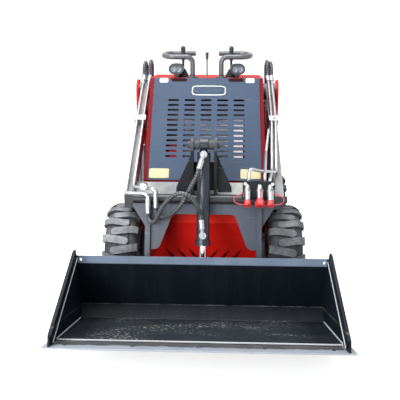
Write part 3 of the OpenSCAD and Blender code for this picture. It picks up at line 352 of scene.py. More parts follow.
# Columns of the arch: inward, back, up, and whether an inner hose rises higher there
ARCH = np.array([(0.000, 0.684, 1.172, 0), (0.004, 0.716, 1.206, 1), (0.006, 0.750, 1.190, 1),
                 (0.004, 0.766, 1.130, 0), (0.000, 0.766, 1.030, 0)])
for side, (x, rise) in PIVOT_HOSES.items():
    leave = on_arm([[x, PIPE_REAR + lead, PIPE_RISE] for lead in (HOSE_GAP, HOSE_LEAD)])
    inward, back, high, rises = ARCH.T
    arch = np.column_stack([x - math.copysign(1, x) * inward, back, high + rise * rises])
    land = [[x, SHELF[0], SHELF[1] + HOSE_LEAD], [x, *SHELF]]
    route = np.concatenate([leave, at(arch), at(land)])
    wrapped_hose("pivot_hose_" + side, route, ACROSS)

# From the left pipes to the tilt barrel's ports: down, round a turn and up in front of the barrel
TILT_LEAD = 0.022
STUB_LEN = 0.078
PORT_OUT = 0.047
PORTS = {"upper": (np.array([0, -PORT_OUT, -0.052]), unit([-0.27, -0.25, -0.93])),
         "lower": (np.array([0, -PORT_OUT, -0.440]), unit([-0.10, -0.12, 1.00]))}
DROPS = {"upper": (-0.232, -0.192, 0.561), "lower": (-0.270, -0.192, 0.531)}
TURNS = {
    "upper": [[-0.225, -0.197, 0.516], [-0.207, -0.202, 0.507], [-0.184, -0.212, 0.515],
              [-0.158, -0.227, 0.534], [-0.130, -0.237, 0.560], [-0.104, -0.242, 0.592],
              [-0.078, -0.241, 0.638], [-0.054, -0.231, 0.684], [-0.037, -0.220, 0.715]],
    "lower": [[-0.258, -0.210, 0.490], [-0.236, -0.226, 0.497], [-0.212, -0.240, 0.540],
              [-0.181, -0.252, 0.597], [-0.145, -0.262, 0.636], [-0.108, -0.272, 0.655],
              [-0.075, -0.278, 0.650], [-0.042, -0.280, 0.622], [-0.020, -0.278, 0.582]],
}


def along_stub(port, *reaches):
    """Places at distances out along a port's stub."""
    ring, way = PORTS[port]
    return on_barrel([ring + reach * way for reach in reaches])


for port in PORTS:
    drop = np.array(DROPS[port])
    stub = along_stub(port, STUB_LEN + TILT_LEAD, STUB_LEN + HOSE_GAP)
    route = np.concatenate([at([drop, drop - [0, 0, TILT_LEAD]] + TURNS[port]), stub])
    wrapped_hose("tilt_hose_" + port, route, BEHIND)

# %% [markdown]
# The right arm's steel pipes leave their clamp, turn inward and reach the couplers over the top of
# the bracket. A bent pipe is a round profile carried along straight runs whose corners are rounded.

# %% Right pipes
PIPE_R = 0.008
PIPE_SIDES = 16
PIPE_SIDE = (0.60, 0.55, -0.58)
WIDE_BEND, MIDDLE_BEND, TIGHT_BEND = 0.026, 0.016, 0.010
BEND_SHARE = 0.45
BEND_STEPS = 9
BRACKET_FRONT = -0.185
BRACKET_BACK = -0.177
COUPLER_X = {"inner": 0.212, "middle": 0.272, "outer": 0.322}
COUPLER_Z = 0.655


def rounded(points, radius):
    """Straight runs with each corner p as (1-t)^2 a + 2t(1-t) p + t^2 b, a and b a radius away."""
    corner = points[1:-1]
    t = np.linspace(0, 1, BEND_STEPS)[None, :, None]
    back, ahead = points[:-2] - corner, points[2:] - corner
    back_len, ahead_len = (np.linalg.norm(run, axis=1, keepdims=True) for run in (back, ahead))
    reach = np.minimum(radius, BEND_SHARE * np.minimum(back_len, ahead_len))
    a = corner + reach * back / back_len
    b = corner + reach * ahead / ahead_len
    curves = (1 - t) ** 2 * a[:, None] + 2 * t * (1 - t) * corner[:, None] + t ** 2 * b[:, None]
    return np.concatenate([points[:1], curves.reshape(-1, 3), points[-1:]])


def pipe_run(lengthwise, over, coupler, radius):
    """A pipe through (across, along) on the arm, then over the bracket to a coupler."""
    leave = on_arm([(x, y, PIPE_RISE) for x, y in lengthwise])
    reach = at([*over, (COUPLER_X[coupler], BRACKET_BACK, COUPLER_Z)])
    return rounded(np.concatenate([leave, reach]), radius)


runs = [
    pipe_run([(0.388, PIPE_REAR), (0.388, -0.360), (0.367, -0.745)],
             [(0.272, -0.120, 0.730), (0.223, -0.158, 0.752), (0.215, -0.160, COUPLER_Z)],
             "inner", WIDE_BEND),
    pipe_run([(0.366, PIPE_REAR), (0.366, -0.360), (0.345, -0.735)],
             [(0.322, -0.148, 0.690), (0.322, -0.150, COUPLER_Z)], "outer", MIDDLE_BEND),
    pipe_run([(0.344, -0.425), (0.322, -0.600)],
             [(0.297, -0.151, 0.715), (0.297, -0.152, COUPLER_Z), (0.272, -0.152, COUPLER_Z)],
             "middle", TIGHT_BEND),
]
tubes = [swept(run, PIPE_SIDE, PIPE_R, PIPE_SIDES) for run in runs]
right_pipes = make("pipes_right_bent", tubes, "pipe_zinc", "arm")
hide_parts("pipes_right")
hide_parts("pipe_ends_right")
print("right pipes", len(runs))

# %% [markdown]
# Steel ferrules are crimped over each hose end. A ferrule is a turned sleeve whose radius dips in
# rings where the press has bitten it. One sits at each end of the pivot hoses and one on each stub
# of the tilt barrel.

# %% Ferrules
FERRULE_R = 0.0135
FERRULE_LEN = 0.046
FERRULE_SINK = 0.004
CRIMPS = 3
CRIMP_DEEP = 0.07
CRIMP_FLAT = 1.6
FERRULE_MOUTH = 0.86


def crimped(place, way):
    """A sleeve with crimped rings: its radius less a dip that comes round once for each crimp."""
    s = np.linspace(0, 1, 37)
    dip = CRIMP_DEEP * np.clip(np.cos(2 * np.pi * CRIMPS * s) * CRIMP_FLAT, 0, 1)
    radius = FERRULE_R * (1 - dip)
    radius[[0, -1]] = FERRULE_MOUTH * FERRULE_R
    profile = np.column_stack([np.r_[0, radius, 0], np.r_[0, s, 1] * FERRULE_LEN])
    return revolved(profile, place, way, 28)


arm_way = on_arm(BEHIND) - PIVOT
for side, (x, _) in PIVOT_HOSES.items():
    pipe_end = on_arm([x, PIPE_REAR - FERRULE_SINK, PIPE_RISE])
    make("ferrule_arm_" + side, [crimped(pipe_end, arm_way)], "pipe_zinc", "arm")
    make("ferrule_shelf_" + side, [crimped(at([x, *SHELF]), UPWARD)], "pipe_zinc", "chassis")
for port in PORTS:
    low, high = along_stub(port, STUB_LEN - FERRULE_LEN, STUB_LEN)
    make("ferrule_tilt_" + port, [crimped(low, high - low)], "pipe_zinc", "tilt_barrel")
print("ferrules", 2 * len(PIVOT_HOSES) + len(PORTS))

# %% [markdown]
# Welds hold the bucket together, and the photograph shows them as pale lines. A bead is laid in
# small overlapping drops, so it is a tube whose radius swells once per drop, half sunk in the
# corner that it fills. The cross frame has a few of its own.

# %% Weld beads
BEAD_R = 0.0040
THIN_BEAD_R = 0.0030
FRAME_BEAD_R = 0.0050
DROP_PITCH = 0.009
DROP_POINTS = 5
BEAD_SIDES = 8


def bead(start, end, radius):
    """A straight bead: radius times (0.8 + 0.2 of a rectified sine along its length)."""
    run = end - start
    length = np.linalg.norm(run)
    s = np.linspace(0, 1, max(int(length / DROP_PITCH * DROP_POINTS), 8))[:, None]
    swell = radius * (0.8 + 0.2 * np.abs(np.sin(np.pi * s * length / DROP_PITCH)))
    helper = np.eye(3)[np.argmin(np.abs(run))]
    return swept(start + s * run, helper, swell, BEAD_SIDES)


def side_bead(x, start, end, radius=THIN_BEAD_R):
    """A bead on one side of the bucket, between two places in the bucket's side view."""
    return bead(on_bucket([x, *start]), on_bucket([x, *end]), radius)


def heading(degrees):
    """A direction in the bucket's side view."""
    return np.array([math.cos(math.radians(degrees)), math.sin(math.radians(degrees))])


# The bucket's side view, as (back, up) from its pin
HALF = 0.575
STRIP_T = 0.006
STRIP_W = 0.045
LIP = np.array([-0.595, -0.070])
HEEL = np.array([-0.105, -0.070])
FOLD = HEEL + 0.078 * heading(51)
BACK_TOP = FOLD + 0.253 * heading(124)
FLANGE_TOP = BACK_TOP + [0, 0.035]
FLOOR_FRONT = LIP + [0.105, 0]
EDGE_SEAM = FLOOR_FRONT - [0.001, 0.003]
front_low = LIP + [0.008, 0.038]
front_high = FLANGE_TOP + [-0.038, 0.022]
front_dir = unit(front_high - front_low)
strip_in = STRIP_W * np.array([front_dir[1], -front_dir[0]])
bright, dim = [], []
for side in SIDES.values():
    x = side * HALF
    bright.append(side_bead(x, FLOOR_FRONT, HEEL, BEAD_R))
    dim += [side_bead(x, HEEL, FOLD), side_bead(x, FOLD, BACK_TOP)]
    bright.append(side_bead(x - side * STRIP_T, front_low + strip_in, front_high + strip_in))
bright.append(bead(on_bucket([-HALF, *EDGE_SEAM]), on_bucket([HALF, *EDGE_SEAM]), BEAD_R))
make("bucket_welds", bright, "edge_steel", "bucket", "weld_bright")
make("bucket_corner_welds", dim, "bucket_black", "bucket")

# Seams of the cross frame at the arms' inner faces and at the mast: across, then both ends
FRAME_SEAMS = ((0.3500, (-0.120, 0.610), (-0.010, 0.642)), (0.0655, (-0.115, 0.612), (-0.030, 0.637)))
frame_beads = [bead(at([side * x, *low]), at([side * x, *high]), FRAME_BEAD_R)
               for side in SIDES.values() for x, low, high in FRAME_SEAMS]
make("frame_welds", frame_beads, "arm_slate", "arm")
print("weld beads", len(bright) + len(dim) + len(frame_beads))

# %% [markdown]
# Bolts repeat, so one head is made and copied. A hexagon head is a revolved profile whose radius is
# cut back to six flats, with a washer beneath it. One bolt holds a block on the left pipes. A dark
# screen behind the louvres of the rear door is painted shade for the space inside.

# %% Bolts
LARGE_BOLT, SMALL_BOLT = 0.013, 0.012
CLAMP_Y, CLAMP_TOP = -0.340, 0.081
BLOCK_DEEP = 0.030
TO_FRONT = np.array([[1, 0, 0], [0, 0, 1], [0, -1, 0]])
TO_REAR = np.array([[1, 0, 0], [0, 0, 1], [0, 1, 0]])


def bolt(size, axis):
    """A washer and a hexagon head of a size across flats, standing on the origin along an axis."""
    scale = [size / math.sqrt(3), size]
    washer = np.array([(0, 0), (1.25, 0), (1.25, 0.12), (0, 0.12)]) * scale
    head = np.array([(0, 0.10), (1, 0.10), (1, 0.58), (0.9, 0.68), (0, 0.70)]) * scale
    origin = np.zeros(3)
    return joined([revolved(washer, origin, axis, 24), revolved(head, origin, axis, 24, flats=6)])


clamp_spots = on_arm([[x, CLAMP_Y, CLAMP_TOP] for x in (-0.3705, 0.377)])
clamp_bolt = bolt(LARGE_BOLT, on_arm(UPWARD) - PIVOT)
make("clamp_bolts", [copies(clamp_bolt, clamp_spots)], "pipe_zinc", "arm")
front_bolt = bolt(SMALL_BOLT, AHEAD)
bracket_spots = at([[x, BRACKET_FRONT, z] for x in (0.202, 0.333) for z in (0.622, 0.682)])
make("bracket_bolts", [copies(front_bolt, bracket_spots)], "pipe_zinc", "arm")
block_front = at([-0.292, -0.183, 0.660])
block = plate(0.034, 0.030, 0.008, BLOCK_DEEP) @ TO_FRONT + block_front + [0, BLOCK_DEEP, 0]
make("pipe_block", [grid_faces(block), copies(front_bolt, [block_front])], "pipe_zinc", "arm")
# Painted shade: a dark sheet behind the rear door's louvres stands for the shade inside.
shade_screen = at(plate(0.46, 0.40, 0.01, 0.002) @ TO_REAR + [0, 0.780, 0.835])
make("rear_shade_screen", [grid_faces(shade_screen)], "lamp_black", "chassis")
door_spots = at([[x, 0.806, z] for x in (-0.222, 0.222) for z in (0.66, 1.02)])
make("door_bolts", [copies(bolt(LARGE_BOLT, BEHIND), door_spots)], "panel_slate", "chassis")
print("bolts", len(clamp_spots) + len(bracket_spots) + len(door_spots) + 1)

# %% [markdown]
# The work lamps are oval, with two reflectors side by side behind one clear cover. A reflector is a
# shallow bowl of revolution: its depth grows with the square of the radius. Each holds a small bulb.

# %% Lamps
LAMP_X, LAMP_Y, LAMP_Z = 0.176, 0.461, 1.182
LENS_BACK = 0.0078
BOWL_R = 0.0155
BOWL_DEEP = 0.0045
BOWL_APART = 0.0158
BOWL_SHELL = 0.0048
RIM_SHARE = 1.04
RIM_PROUD = 0.0004
BULB_R = 0.004
BULB_BACK = 0.0076
r = np.linspace(0, 1, 14)
bowl_radii = np.r_[r, RIM_SHARE, RIM_SHARE, 0] * BOWL_R
bowl_depths = np.r_[BOWL_DEEP * (1 - r ** 2), -RIM_PROUD, BOWL_SHELL, BOWL_SHELL]
bowl_profile = np.column_stack([bowl_radii, LENS_BACK - BOWL_SHELL + bowl_depths])
quarter = np.linspace(0, np.pi / 2, 8)
bulb_curve = np.array([np.r_[0, np.cos(quarter)], np.r_[0, np.sin(quarter)]]) * BULB_R
bulb_profile = np.column_stack([bulb_curve[0], BULB_BACK - bulb_curve[1]])
for name, side in SIDES.items():
    spots = at([[side * LAMP_X + k * BOWL_APART, LAMP_Y, LAMP_Z] for k in (-1, 1)])
    bowls = [revolved(bowl_profile, spot, BEHIND, 40) for spot in spots]
    make("reflectors_" + name, bowls, "rod_chrome", "chassis", "reflector")
    bulbs = [revolved(bulb_profile, spot, BEHIND, 24) for spot in spots]
    make("bulbs_" + name, bulbs, "lamp_lens", "chassis")
print("reflectors", len(SIDES) * len(bowls))

# %% [markdown]
# The photograph shows small plates on the sloping panel. Here they are bare, with no words: two
# white ones near the top, two pale yellow ones at the foot, and the plain badge plate with its rim
# in the middle. Two dark plates are painted shade for the notches under the lamps.

# %% Bare plates
PANEL_T = 0.004
BADGE_X, BADGE_UP = 0.0135, 0.556
# Each row: the plate, its distance up the slope, its places across, its slot and its own look
PLATES = {
    "white_plates": (plate(0.048, 0.030, 0.004, 0.0012), 0.6235, (-0.242, 0.246),
                     "panel_slate", "plate_white"),
    "yellow_plates": (plate(0.105, 0.056, 0.004, 0.0012), 0.038, (-0.240, 0.240),
                      "panel_slate", "plate_yellow"),
    "badge_rim": (plate(0.190, 0.064, 0.012, 0.0012), BADGE_UP, (BADGE_X,),
                  "panel_slate", "plate_white"),
    "badge_face": (plate(0.181, 0.055, 0.010, 0.0018), BADGE_UP, (BADGE_X,), "panel_slate", None),
    # Painted shade: dark plates stand for the shade in the notches under the lamps.
    "lamp_notch_shades": (plate(0.085, 0.022, 0.003, 0.0014), 0.627, (-0.154, 0.166),
                     "lamp_black", "notch_shade"),
}
for name, (shape, up_slope, places, slot, look) in PLATES.items():
    laid = [grid_faces(on_slope(shape + [x, up_slope, PANEL_T])) for x in places]
    make(name, laid, slot, "chassis", look)
print("plates", sum(len(places) for _, _, places, _, _ in PLATES.values()))

# %% [markdown]
# The joysticks stand in rubber bellows, a cone whose radius waves as it climbs. The couplers have
# turned nuts and dust caps, and the caps hang on soft straps, which are thin tubes carried along a
# loop.

# %% Bellows, caps and straps
STICK_X, STICK_Y, HOOD_TOP = 0.140, 0.545, 1.133
FOOT_R, NECK_R = 0.038, 0.014
BELLOWS_TALL = 0.046
WAVES, WAVE_DEEP = 5, 0.0035
h = np.linspace(0, 1, 49)
waved = FOOT_R + (NECK_R - FOOT_R) * h + WAVE_DEEP * np.cos(2 * np.pi * WAVES * h)
bellows_profile = np.column_stack([np.r_[0, waved, 0], np.r_[0, h, 1] * BELLOWS_TALL])
for name, side in SIDES.items():
    cone = revolved(bellows_profile, at([side * STICK_X, STICK_Y, HOOD_TOP]), UPWARD, 40)
    make("bellows_" + name, [cone], "control_black", "chassis")

COUPLER_LEAN = math.radians(40)
COUPLER_DIR = np.array([0, -math.sin(COUPLER_LEAN), -math.cos(COUPLER_LEAN)])
COUPLER_UP = np.array([0, COUPLER_DIR[2], -COUPLER_DIR[1]])
NUT = [(0, 0.003), (0.0190, 0.003), (0.0202, 0.005), (0.0202, 0.012), (0.0188, 0.014), (0, 0.014)]
SMALL_CAP = [(0, 0.060), (0.0162, 0.060), (0.0168, 0.078), (0.0186, 0.080), (0.0186, 0.087),
             (0.0172, 0.089), (0.0150, 0.087), (0, 0.087)]
LARGE_CAP = [(0, 0.052), (0.0178, 0.052), (0.0186, 0.060), (0.0250, 0.070), (0.0250, 0.088),
             (0.0235, 0.090), (0, 0.090)]
# Stops of a strap: distance along the coupler, distance out from it
TETHER = [(0.014, 0.0195), (0.036, 0.0185), (0.058, 0.0195), (0.072, 0.0225)]
LOOP = [(0.020, 0.015), (0.030, 0.036), (0.050, 0.064), (0.068, 0.060), (0.079, 0.036), (0.082, 0.017)]
TETHER_R, LOOP_R = 0.0030, 0.0026
STRAP_STEP = 0.003
STRAP_SIDES = 12
roots = {name: at([x, BRACKET_FRONT, COUPLER_Z]) for name, x in COUPLER_X.items()}
nuts = [revolved(NUT, root, COUPLER_DIR, 36) for root in roots.values()]
make("coupler_nuts", nuts, "pipe_zinc", "arm", "nut_grey")
cap_shapes = [revolved(SMALL_CAP, roots[name], COUPLER_DIR, 40) for name in ("inner", "outer")]
cap_shapes.append(revolved(LARGE_CAP, roots["middle"], COUPLER_DIR, 48, flats=6))
caps = make("dust_caps_turned", cap_shapes, "cap_red", "arm")
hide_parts("dust_caps")


def strap(name, stops, out, across, radius):
    """A soft tube through stops that lie along a coupler and out from it."""
    places = [roots[name] + d * COUPLER_DIR + w * np.asarray(out) for d, w in stops]
    tube = swept(natural_curve(places, STRAP_STEP), across, radius, STRAP_SIDES)
    make("cap_strap_" + name, [tube], "cap_red", "arm")


strap("middle", TETHER, COUPLER_UP, ACROSS, TETHER_R)
strap("inner", LOOP, (-1, 0, 0), BEHIND, LOOP_R)
strap("outer", LOOP, (1, 0, 0), BEHIND, LOOP_R)
print("bellows", len(SIDES), "couplers", len(roots))

# %% [markdown]
# Materials come next. Two effects are shared by nearly all of them, so each is a group built once.
# Dust settles on faces that look up and gathers in patches. Scuffs are long scratches and worn
# spots where paint has gone thin. Both work on object coordinates, so that they stay put when the
# machine moves.

# %% Shared effects
PALE_DUST = (0.50, 0.49, 0.47, 1)
BARE_STEEL = (0.55, 0.57, 0.60, 1)


def new_node(tree, kind, inputs=None, **settings):
    """A node with its settings; inputs hold plain values, or sockets to link from."""
    made = tree.nodes.new(kind)
    for key, value in settings.items():
        setattr(made, key, value)
    for key, value in (inputs or {}).items():
        if isinstance(value, bpy.types.NodeSocket):
            tree.links.new(value, made.inputs[key])
        else:
            made.inputs[key].default_value = value
    return made


def maths(operation, a, b=0.0, clamp=False):
    """One sum of two numbers or sockets, in the tree of the first socket among them."""
    tree = next(value.id_data for value in (a, b) if isinstance(value, bpy.types.NodeSocket))
    settings = {"operation": operation, "use_clamp": clamp}
    return new_node(tree, "ShaderNodeMath", {0: a, 1: b}, **settings).outputs[0]


def plus(a, b, clamp=False):
    """a + b."""
    return maths("ADD", a, b, clamp)


def minus(a, b):
    """a - b."""
    return maths("SUBTRACT", a, b)


def times(a, b, clamp=False):
    """a times b."""
    return maths("MULTIPLY", a, b, clamp)


def rest(a):
    """What a leaves of one."""
    return minus(1.0, a)


def absolute(a):
    """The size of a number, without its sign."""
    return maths("ABSOLUTE", a)


def above(value, limit):
    """One above a limit, else nothing."""
    return maths("GREATER_THAN", value, limit)


def below(value, limit):
    """One below a limit, else nothing."""
    return maths("LESS_THAN", value, limit)


def within(value, limit):
    """One where a number's size is below a limit, else nothing."""
    return below(absolute(value), limit)


def distance(a, b):
    """The length of two numbers taken as legs of a right triangle."""
    return maths("SQRT", plus(times(a, a), times(b, b)))


def ramp(value, low, high):
    """Nothing below low, all above high, and straight between."""
    inputs = {0: value, 1: low, 2: high}
    return new_node(value.id_data, "ShaderNodeMapRange", inputs, clamp=True).outputs[0]


def mixed(factor, a, b):
    """Colour a turning into colour b."""
    inputs = {0: factor, 6: a, 7: b}
    return new_node(factor.id_data, "ShaderNodeMix", inputs, data_type="RGBA").outputs[2]


def split(vector):
    """A vector as three numbers."""
    return new_node(vector.id_data, "ShaderNodeSeparateXYZ", {0: vector}).outputs


def place_of(tree):
    """Object coordinates."""
    return new_node(tree, "ShaderNodeTexCoord").outputs["Object"]


def normal_of(tree):
    """The way a face looks, as three numbers."""
    return split(new_node(tree, "ShaderNodeTexCoord").outputs["Normal"])


def mapped(vector, **changes):
    """A vector after the Location, Rotation and Scale that are given."""
    inputs = {"Vector": vector, **changes}
    return new_node(vector.id_data, "ShaderNodeMapping", inputs).outputs[0]


def about_pin(tree, pin, angle):
    """Object coordinates counted from a pin and turned about X, as three numbers."""
    moved = mapped(place_of(tree), Location=tuple(-pin))
    return split(mapped(moved, Rotation=(angle, 0, 0)))


def noise(tree, scale, detail=3.0, vector=None, rough=0.55):
    """Cloudy values between 0 and 1, on object coordinates unless a vector is given."""
    inputs = {"Scale": scale, "Detail": detail, "Roughness": rough, "Vector": vector or place_of(tree)}
    return new_node(tree, "ShaderNodeTexNoise", inputs).outputs["Fac"]


def waves(tree, scale, way, vector=None):
    """Soft stripes between 0 and 1 that follow each other along X or Z."""
    inputs = {"Vector": vector or place_of(tree), "Scale": scale}
    return new_node(tree, "ShaderNodeTexWave", inputs, bands_direction=way).outputs["Fac"]


def new_group(name, inputs, outputs):
    """An empty group with its sockets: numbers unless the name says colour."""
    group = bpy.data.node_groups.new(name, "ShaderNodeTree")
    for direction, names in (("INPUT", inputs), ("OUTPUT", outputs)):
        for socket in names:
            kind = "NodeSocketColor" if "colour" in socket else "NodeSocketFloat"
            group.interface.new_socket(socket, in_out=direction, socket_type=kind)
    return group, group.nodes.new("NodeGroupInput").outputs, group.nodes.new("NodeGroupOutput").inputs


def dust_group():
    """Dust: more where the face looks up, in patches, rough and pale."""
    group, given, out = new_group("dust", ["colour", "dust colour", "roughness", "amount", "scale"],
                                  ["colour", "roughness"])
    facing = ramp(normal_of(group)["Z"], 0.45, 0.92)
    patches = ramp(noise(group, given["scale"], 6.0), 0.36, 0.66)
    layer = times(times(patches, 0.75), facing)
    layer = plus(layer, times(facing, 0.25))
    layer = times(layer, given["amount"], clamp=True)
    group.links.new(mixed(layer, given["colour"], given["dust colour"]), out["colour"])
    rough = plus(given["roughness"], times(layer, 0.35), clamp=True)
    group.links.new(rough, out["roughness"])
    return group


def scuff_group():
    """Scuffs: long scratches from stretched noise, and worn spots from coarse noise."""
    group, given, out = new_group("scuffs", ["colour", "bare colour", "roughness", "amount", "scale"],
                                  ["colour", "roughness", "metallic"])
    stretched = mapped(place_of(group), Rotation=(0.3, 0.5, 0.2), Scale=(0.12, 1.0, 2.2))
    scratch_scale = times(given["scale"], 9.0)
    scratches = ramp(noise(group, scratch_scale, 2.0, stretched), 0.66, 0.72)
    spots = ramp(noise(group, given["scale"], 8.0, rough=0.7), 0.62, 0.74)
    worn = times(maths("MAXIMUM", scratches, spots), given["amount"], clamp=True)
    group.links.new(mixed(worn, given["colour"], given["bare colour"]), out["colour"])
    rough = plus(given["roughness"], times(worn, 0.15), clamp=True)
    group.links.new(rough, out["roughness"])
    group.links.new(times(worn, 0.6), out["metallic"])
    return group


DUST = dust_group()
SCUFFS = scuff_group()
print("groups", DUST.name, SCUFFS.name)

# %% [markdown]
# A finish is then a short recipe: a base colour with slow variation, the scuffs, the dust, and a
# fine bump for the skin of the paint or the grain of the rubber. Recipes that need more, such as
# the bucket and the tyres, add to it.

# %% Finishes
PEEL_SCALE = 240.0
PEEL = 0.12
COAT_ROUGH = 0.2
BLACK = (0.012, 0.012, 0.014, 1)
MATERIALS = {}


def begin(name):
    """A new material, kept under its name: its tree and its surface shader, with nothing else linked."""
    MATERIALS[name] = bpy.data.materials.new(name)
    MATERIALS[name].use_nodes = True
    tree = MATERIALS[name].node_tree
    return tree, tree.nodes["Principled BSDF"]


def shaded(tree, colour, amount, scale):
    """A colour that is a little darker and lighter from place to place."""
    dark = tuple(c * (1 - amount) for c in colour[:3]) + (1,)
    light = tuple(min(c * (1 + amount), 1) for c in colour[:3]) + (1,)
    return mixed(noise(tree, scale, 4.0), dark, light)


def bumped(shader, strength, depth, height):
    """A bump from a height."""
    tree = shader.id_data
    inputs = {"Strength": strength, "Distance": depth, "Height": height}
    tree.links.new(new_node(tree, "ShaderNodeBump", inputs).outputs[0], shader.inputs["Normal"])


def grained(shader, scale, strength, depth=0.0006):
    """A bump from fine noise."""
    bumped(shader, strength, depth, noise(shader.id_data, scale, 2.0))


def finish(shader, colour, rough, scuffs=0.0, dust=0.0, metallic=0.0, bare=BARE_STEEL,
           dust_colour=PALE_DUST, scuff_scale=6.0, dust_scale=5.0):
    """Scuffs, then dust, into the shader."""
    tree = shader.id_data
    given = {"colour": colour, "bare colour": bare, "roughness": rough, "amount": scuffs,
             "scale": scuff_scale}
    worn = new_node(tree, "ShaderNodeGroup", given, node_tree=SCUFFS).outputs
    given = {"colour": worn["colour"], "dust colour": dust_colour, "roughness": worn["roughness"],
             "amount": dust, "scale": dust_scale}
    dusty = new_node(tree, "ShaderNodeGroup", given, node_tree=DUST).outputs
    tree.links.new(dusty["colour"], shader.inputs["Base Color"])
    tree.links.new(dusty["roughness"], shader.inputs["Roughness"])
    if metallic or not scuffs:
        shader.inputs["Metallic"].default_value = metallic
    else:
        tree.links.new(worn["metallic"], shader.inputs["Metallic"])


def skin(shader, coat=0.0, shine=0.5, peel=PEEL, coat_rough=COAT_ROUGH):
    """The top of sprayed paint: a clear layer, its shine, and a fine waviness."""
    shader.inputs["Coat Weight"].default_value = coat
    shader.inputs["Coat Roughness"].default_value = coat_rough
    shader.inputs["Specular IOR Level"].default_value = shine
    grained(shader, PEEL_SCALE, peel)


def paint(name, colour, rough, scuffs, dust, coat=0.0, peel=PEEL, vary=0.12, shine=0.5):
    """Painted steel: a colour under the skin of sprayed paint."""
    tree, shader = begin(name)
    finish(shader, shaded(tree, colour, vary, 2.5), rough, scuffs, dust)
    skin(shader, coat, shine, peel)


def metal(name, colour, rough, dust=0.1, grain=0.15):
    """Bare or plated metal with a fine grain."""
    tree, shader = begin(name)
    finish(shader, shaded(tree, colour, 0.1, 14.0), rough, scuffs=0.1, dust=dust, metallic=1.0)
    grained(shader, 420.0, grain, 0.0003)


def plastic(name, colour, rough, dust=0.15, grain=0.25):
    """Moulded plastic or rubber with a fine leather-like grain."""
    tree, shader = begin(name)
    finish(shader, shaded(tree, colour, 0.1, 10.0), rough, dust=dust)
    grained(shader, 700.0, grain, 0.0004)


def tyre_rubber():
    """Dark rubber under dry mud: dusty lug tops, dark gaps that are partly painted shade, and painted
    shade on the lug sides and over the right tyres.
    """
    tree, shader = begin("tyre_rubber")
    x, y, z = split(place_of(tree))
    past_middle = minus(y, AXLE_Y + WHEELBASE / 2)
    back = minus(absolute(past_middle), WHEELBASE / 2)
    high = minus(z, TYRE_R)
    reach = distance(back, high)
    off_middle = absolute(minus(absolute(x), TRACK_HALF))
    fall = maths("POWER", ramp(off_middle, 0.040, 0.088), 1.7)
    crown = plus(reach, times(fall, 0.026))
    tops = ramp(crown, TYRE_R - 0.011, TYRE_R - 0.004)
    nx, ny, nz = normal_of(tree)
    past = maths("SIGN", past_middle)
    outward = plus(times(times(ny, past), back), times(nz, high))
    outward = absolute(maths("DIVIDE", outward, reach))
    # Painted shade: lug side walls, which face across the wheel's radius, are darkened like contact
    # shadows.
    lug_side_shade = rest(ramp(outward, 0.25, 0.60))
    lug_side_shade = times(lug_side_shade, rest(ramp(absolute(nx), 0.5, 0.8)))
    patches = ramp(noise(tree, 14.0, 8.0, rough=0.7), 0.34, 0.64)
    mud = mixed(patches, (0.055, 0.061, 0.068, 1), (0.270, 0.280, 0.292, 1))
    # The gaps between the lugs are dark: rubber with less mud, and partly painted shade.
    gaps = mixed(patches, (0.018, 0.020, 0.023, 1), (0.080, 0.084, 0.090, 1))
    base = mixed(tops, gaps, mud)
    base = mixed(times(lug_side_shade, 0.85), base, (0.018, 0.020, 0.024, 1))
    # Painted shade: the right tyres are darkened, since the light comes from the left.
    right_tyre_shade = times(above(x, 0.0), 0.42)
    base = mixed(right_tyre_shade, base, (0.020, 0.025, 0.032, 1))
    finish(shader, base, 0.82, dust=0.20, dust_colour=(0.50, 0.50, 0.51, 1), dust_scale=9.0)
    grained(shader, 160.0, 0.5, 0.0012)


def body_paint():
    """Red body paint; faces that look up, such as the nose's fold, get a painted highlight in a brighter
    red.
    """
    tree, shader = begin("body_red")
    red = shaded(tree, (0.70, 0.012, 0.008), 0.10, 2.5)
    # Painted highlight: faces that look up are mixed towards a brighter red.
    base = mixed(ramp(normal_of(tree)["Z"], 0.1, 0.4), red, (0.98, 0.035, 0.020, 1))
    finish(shader, base, 0.50, scuffs=0.03)
    skin(shader, shine=0.08)


def hood_paint():
    """Red hood; its front edge, which frames the panel, is darker, and what the rear door covers is
    black as painted shade.
    """
    tree, shader = begin("hood_red")
    ahead = times(normal_of(tree)["Y"], -1.0)
    frame_edge = ramp(ahead, 0.3, 0.6)
    base = mixed(frame_edge, (0.52, 0.010, 0.008, 1), (0.150, 0.004, 0.005, 1))
    x, y, z = split(place_of(tree))
    # Painted shade: the hood behind the rear door is black.
    behind_door_shade = times(within(x, 0.236), within(minus(z, 0.840), 0.196))
    behind_door_shade = times(behind_door_shade, above(y, AXLE_Y + 0.796))
    finish(shader, mixed(behind_door_shade, base, BLACK), 0.50, scuffs=0.03)
    skin(shader, shine=0.08)


def arm_paint():
    """Slate paint; the tube between the arms and the arms' front ends are darkened as painted shade."""
    tree, shader = begin("arm_slate")
    x, y, z = split(place_of(tree))
    inner_face = 0.3515
    from_tube = distance(minus(y, AXLE_Y - 0.122), minus(z, 0.583))
    # Painted shade: the cross tube, which has the plate's own colour, and the arms' front ends, which
    # face down and ahead, are darkened.
    tube = times(within(from_tube, 0.0262), within(x, inner_face))
    shaded_fronts = times(below(y, AXLE_Y - 0.124), above(absolute(x), inner_face))
    dark = maths("MAXIMUM", tube, shaded_fronts)
    slate = shaded(tree, (0.050, 0.064, 0.090), 0.12, 2.5)
    base = mixed(dark, slate, (0.012, 0.015, 0.021, 1))
    finish(shader, base, 0.40, scuffs=0.10, dust=times(rest(dark), 0.85))
    skin(shader, coat=0.1)


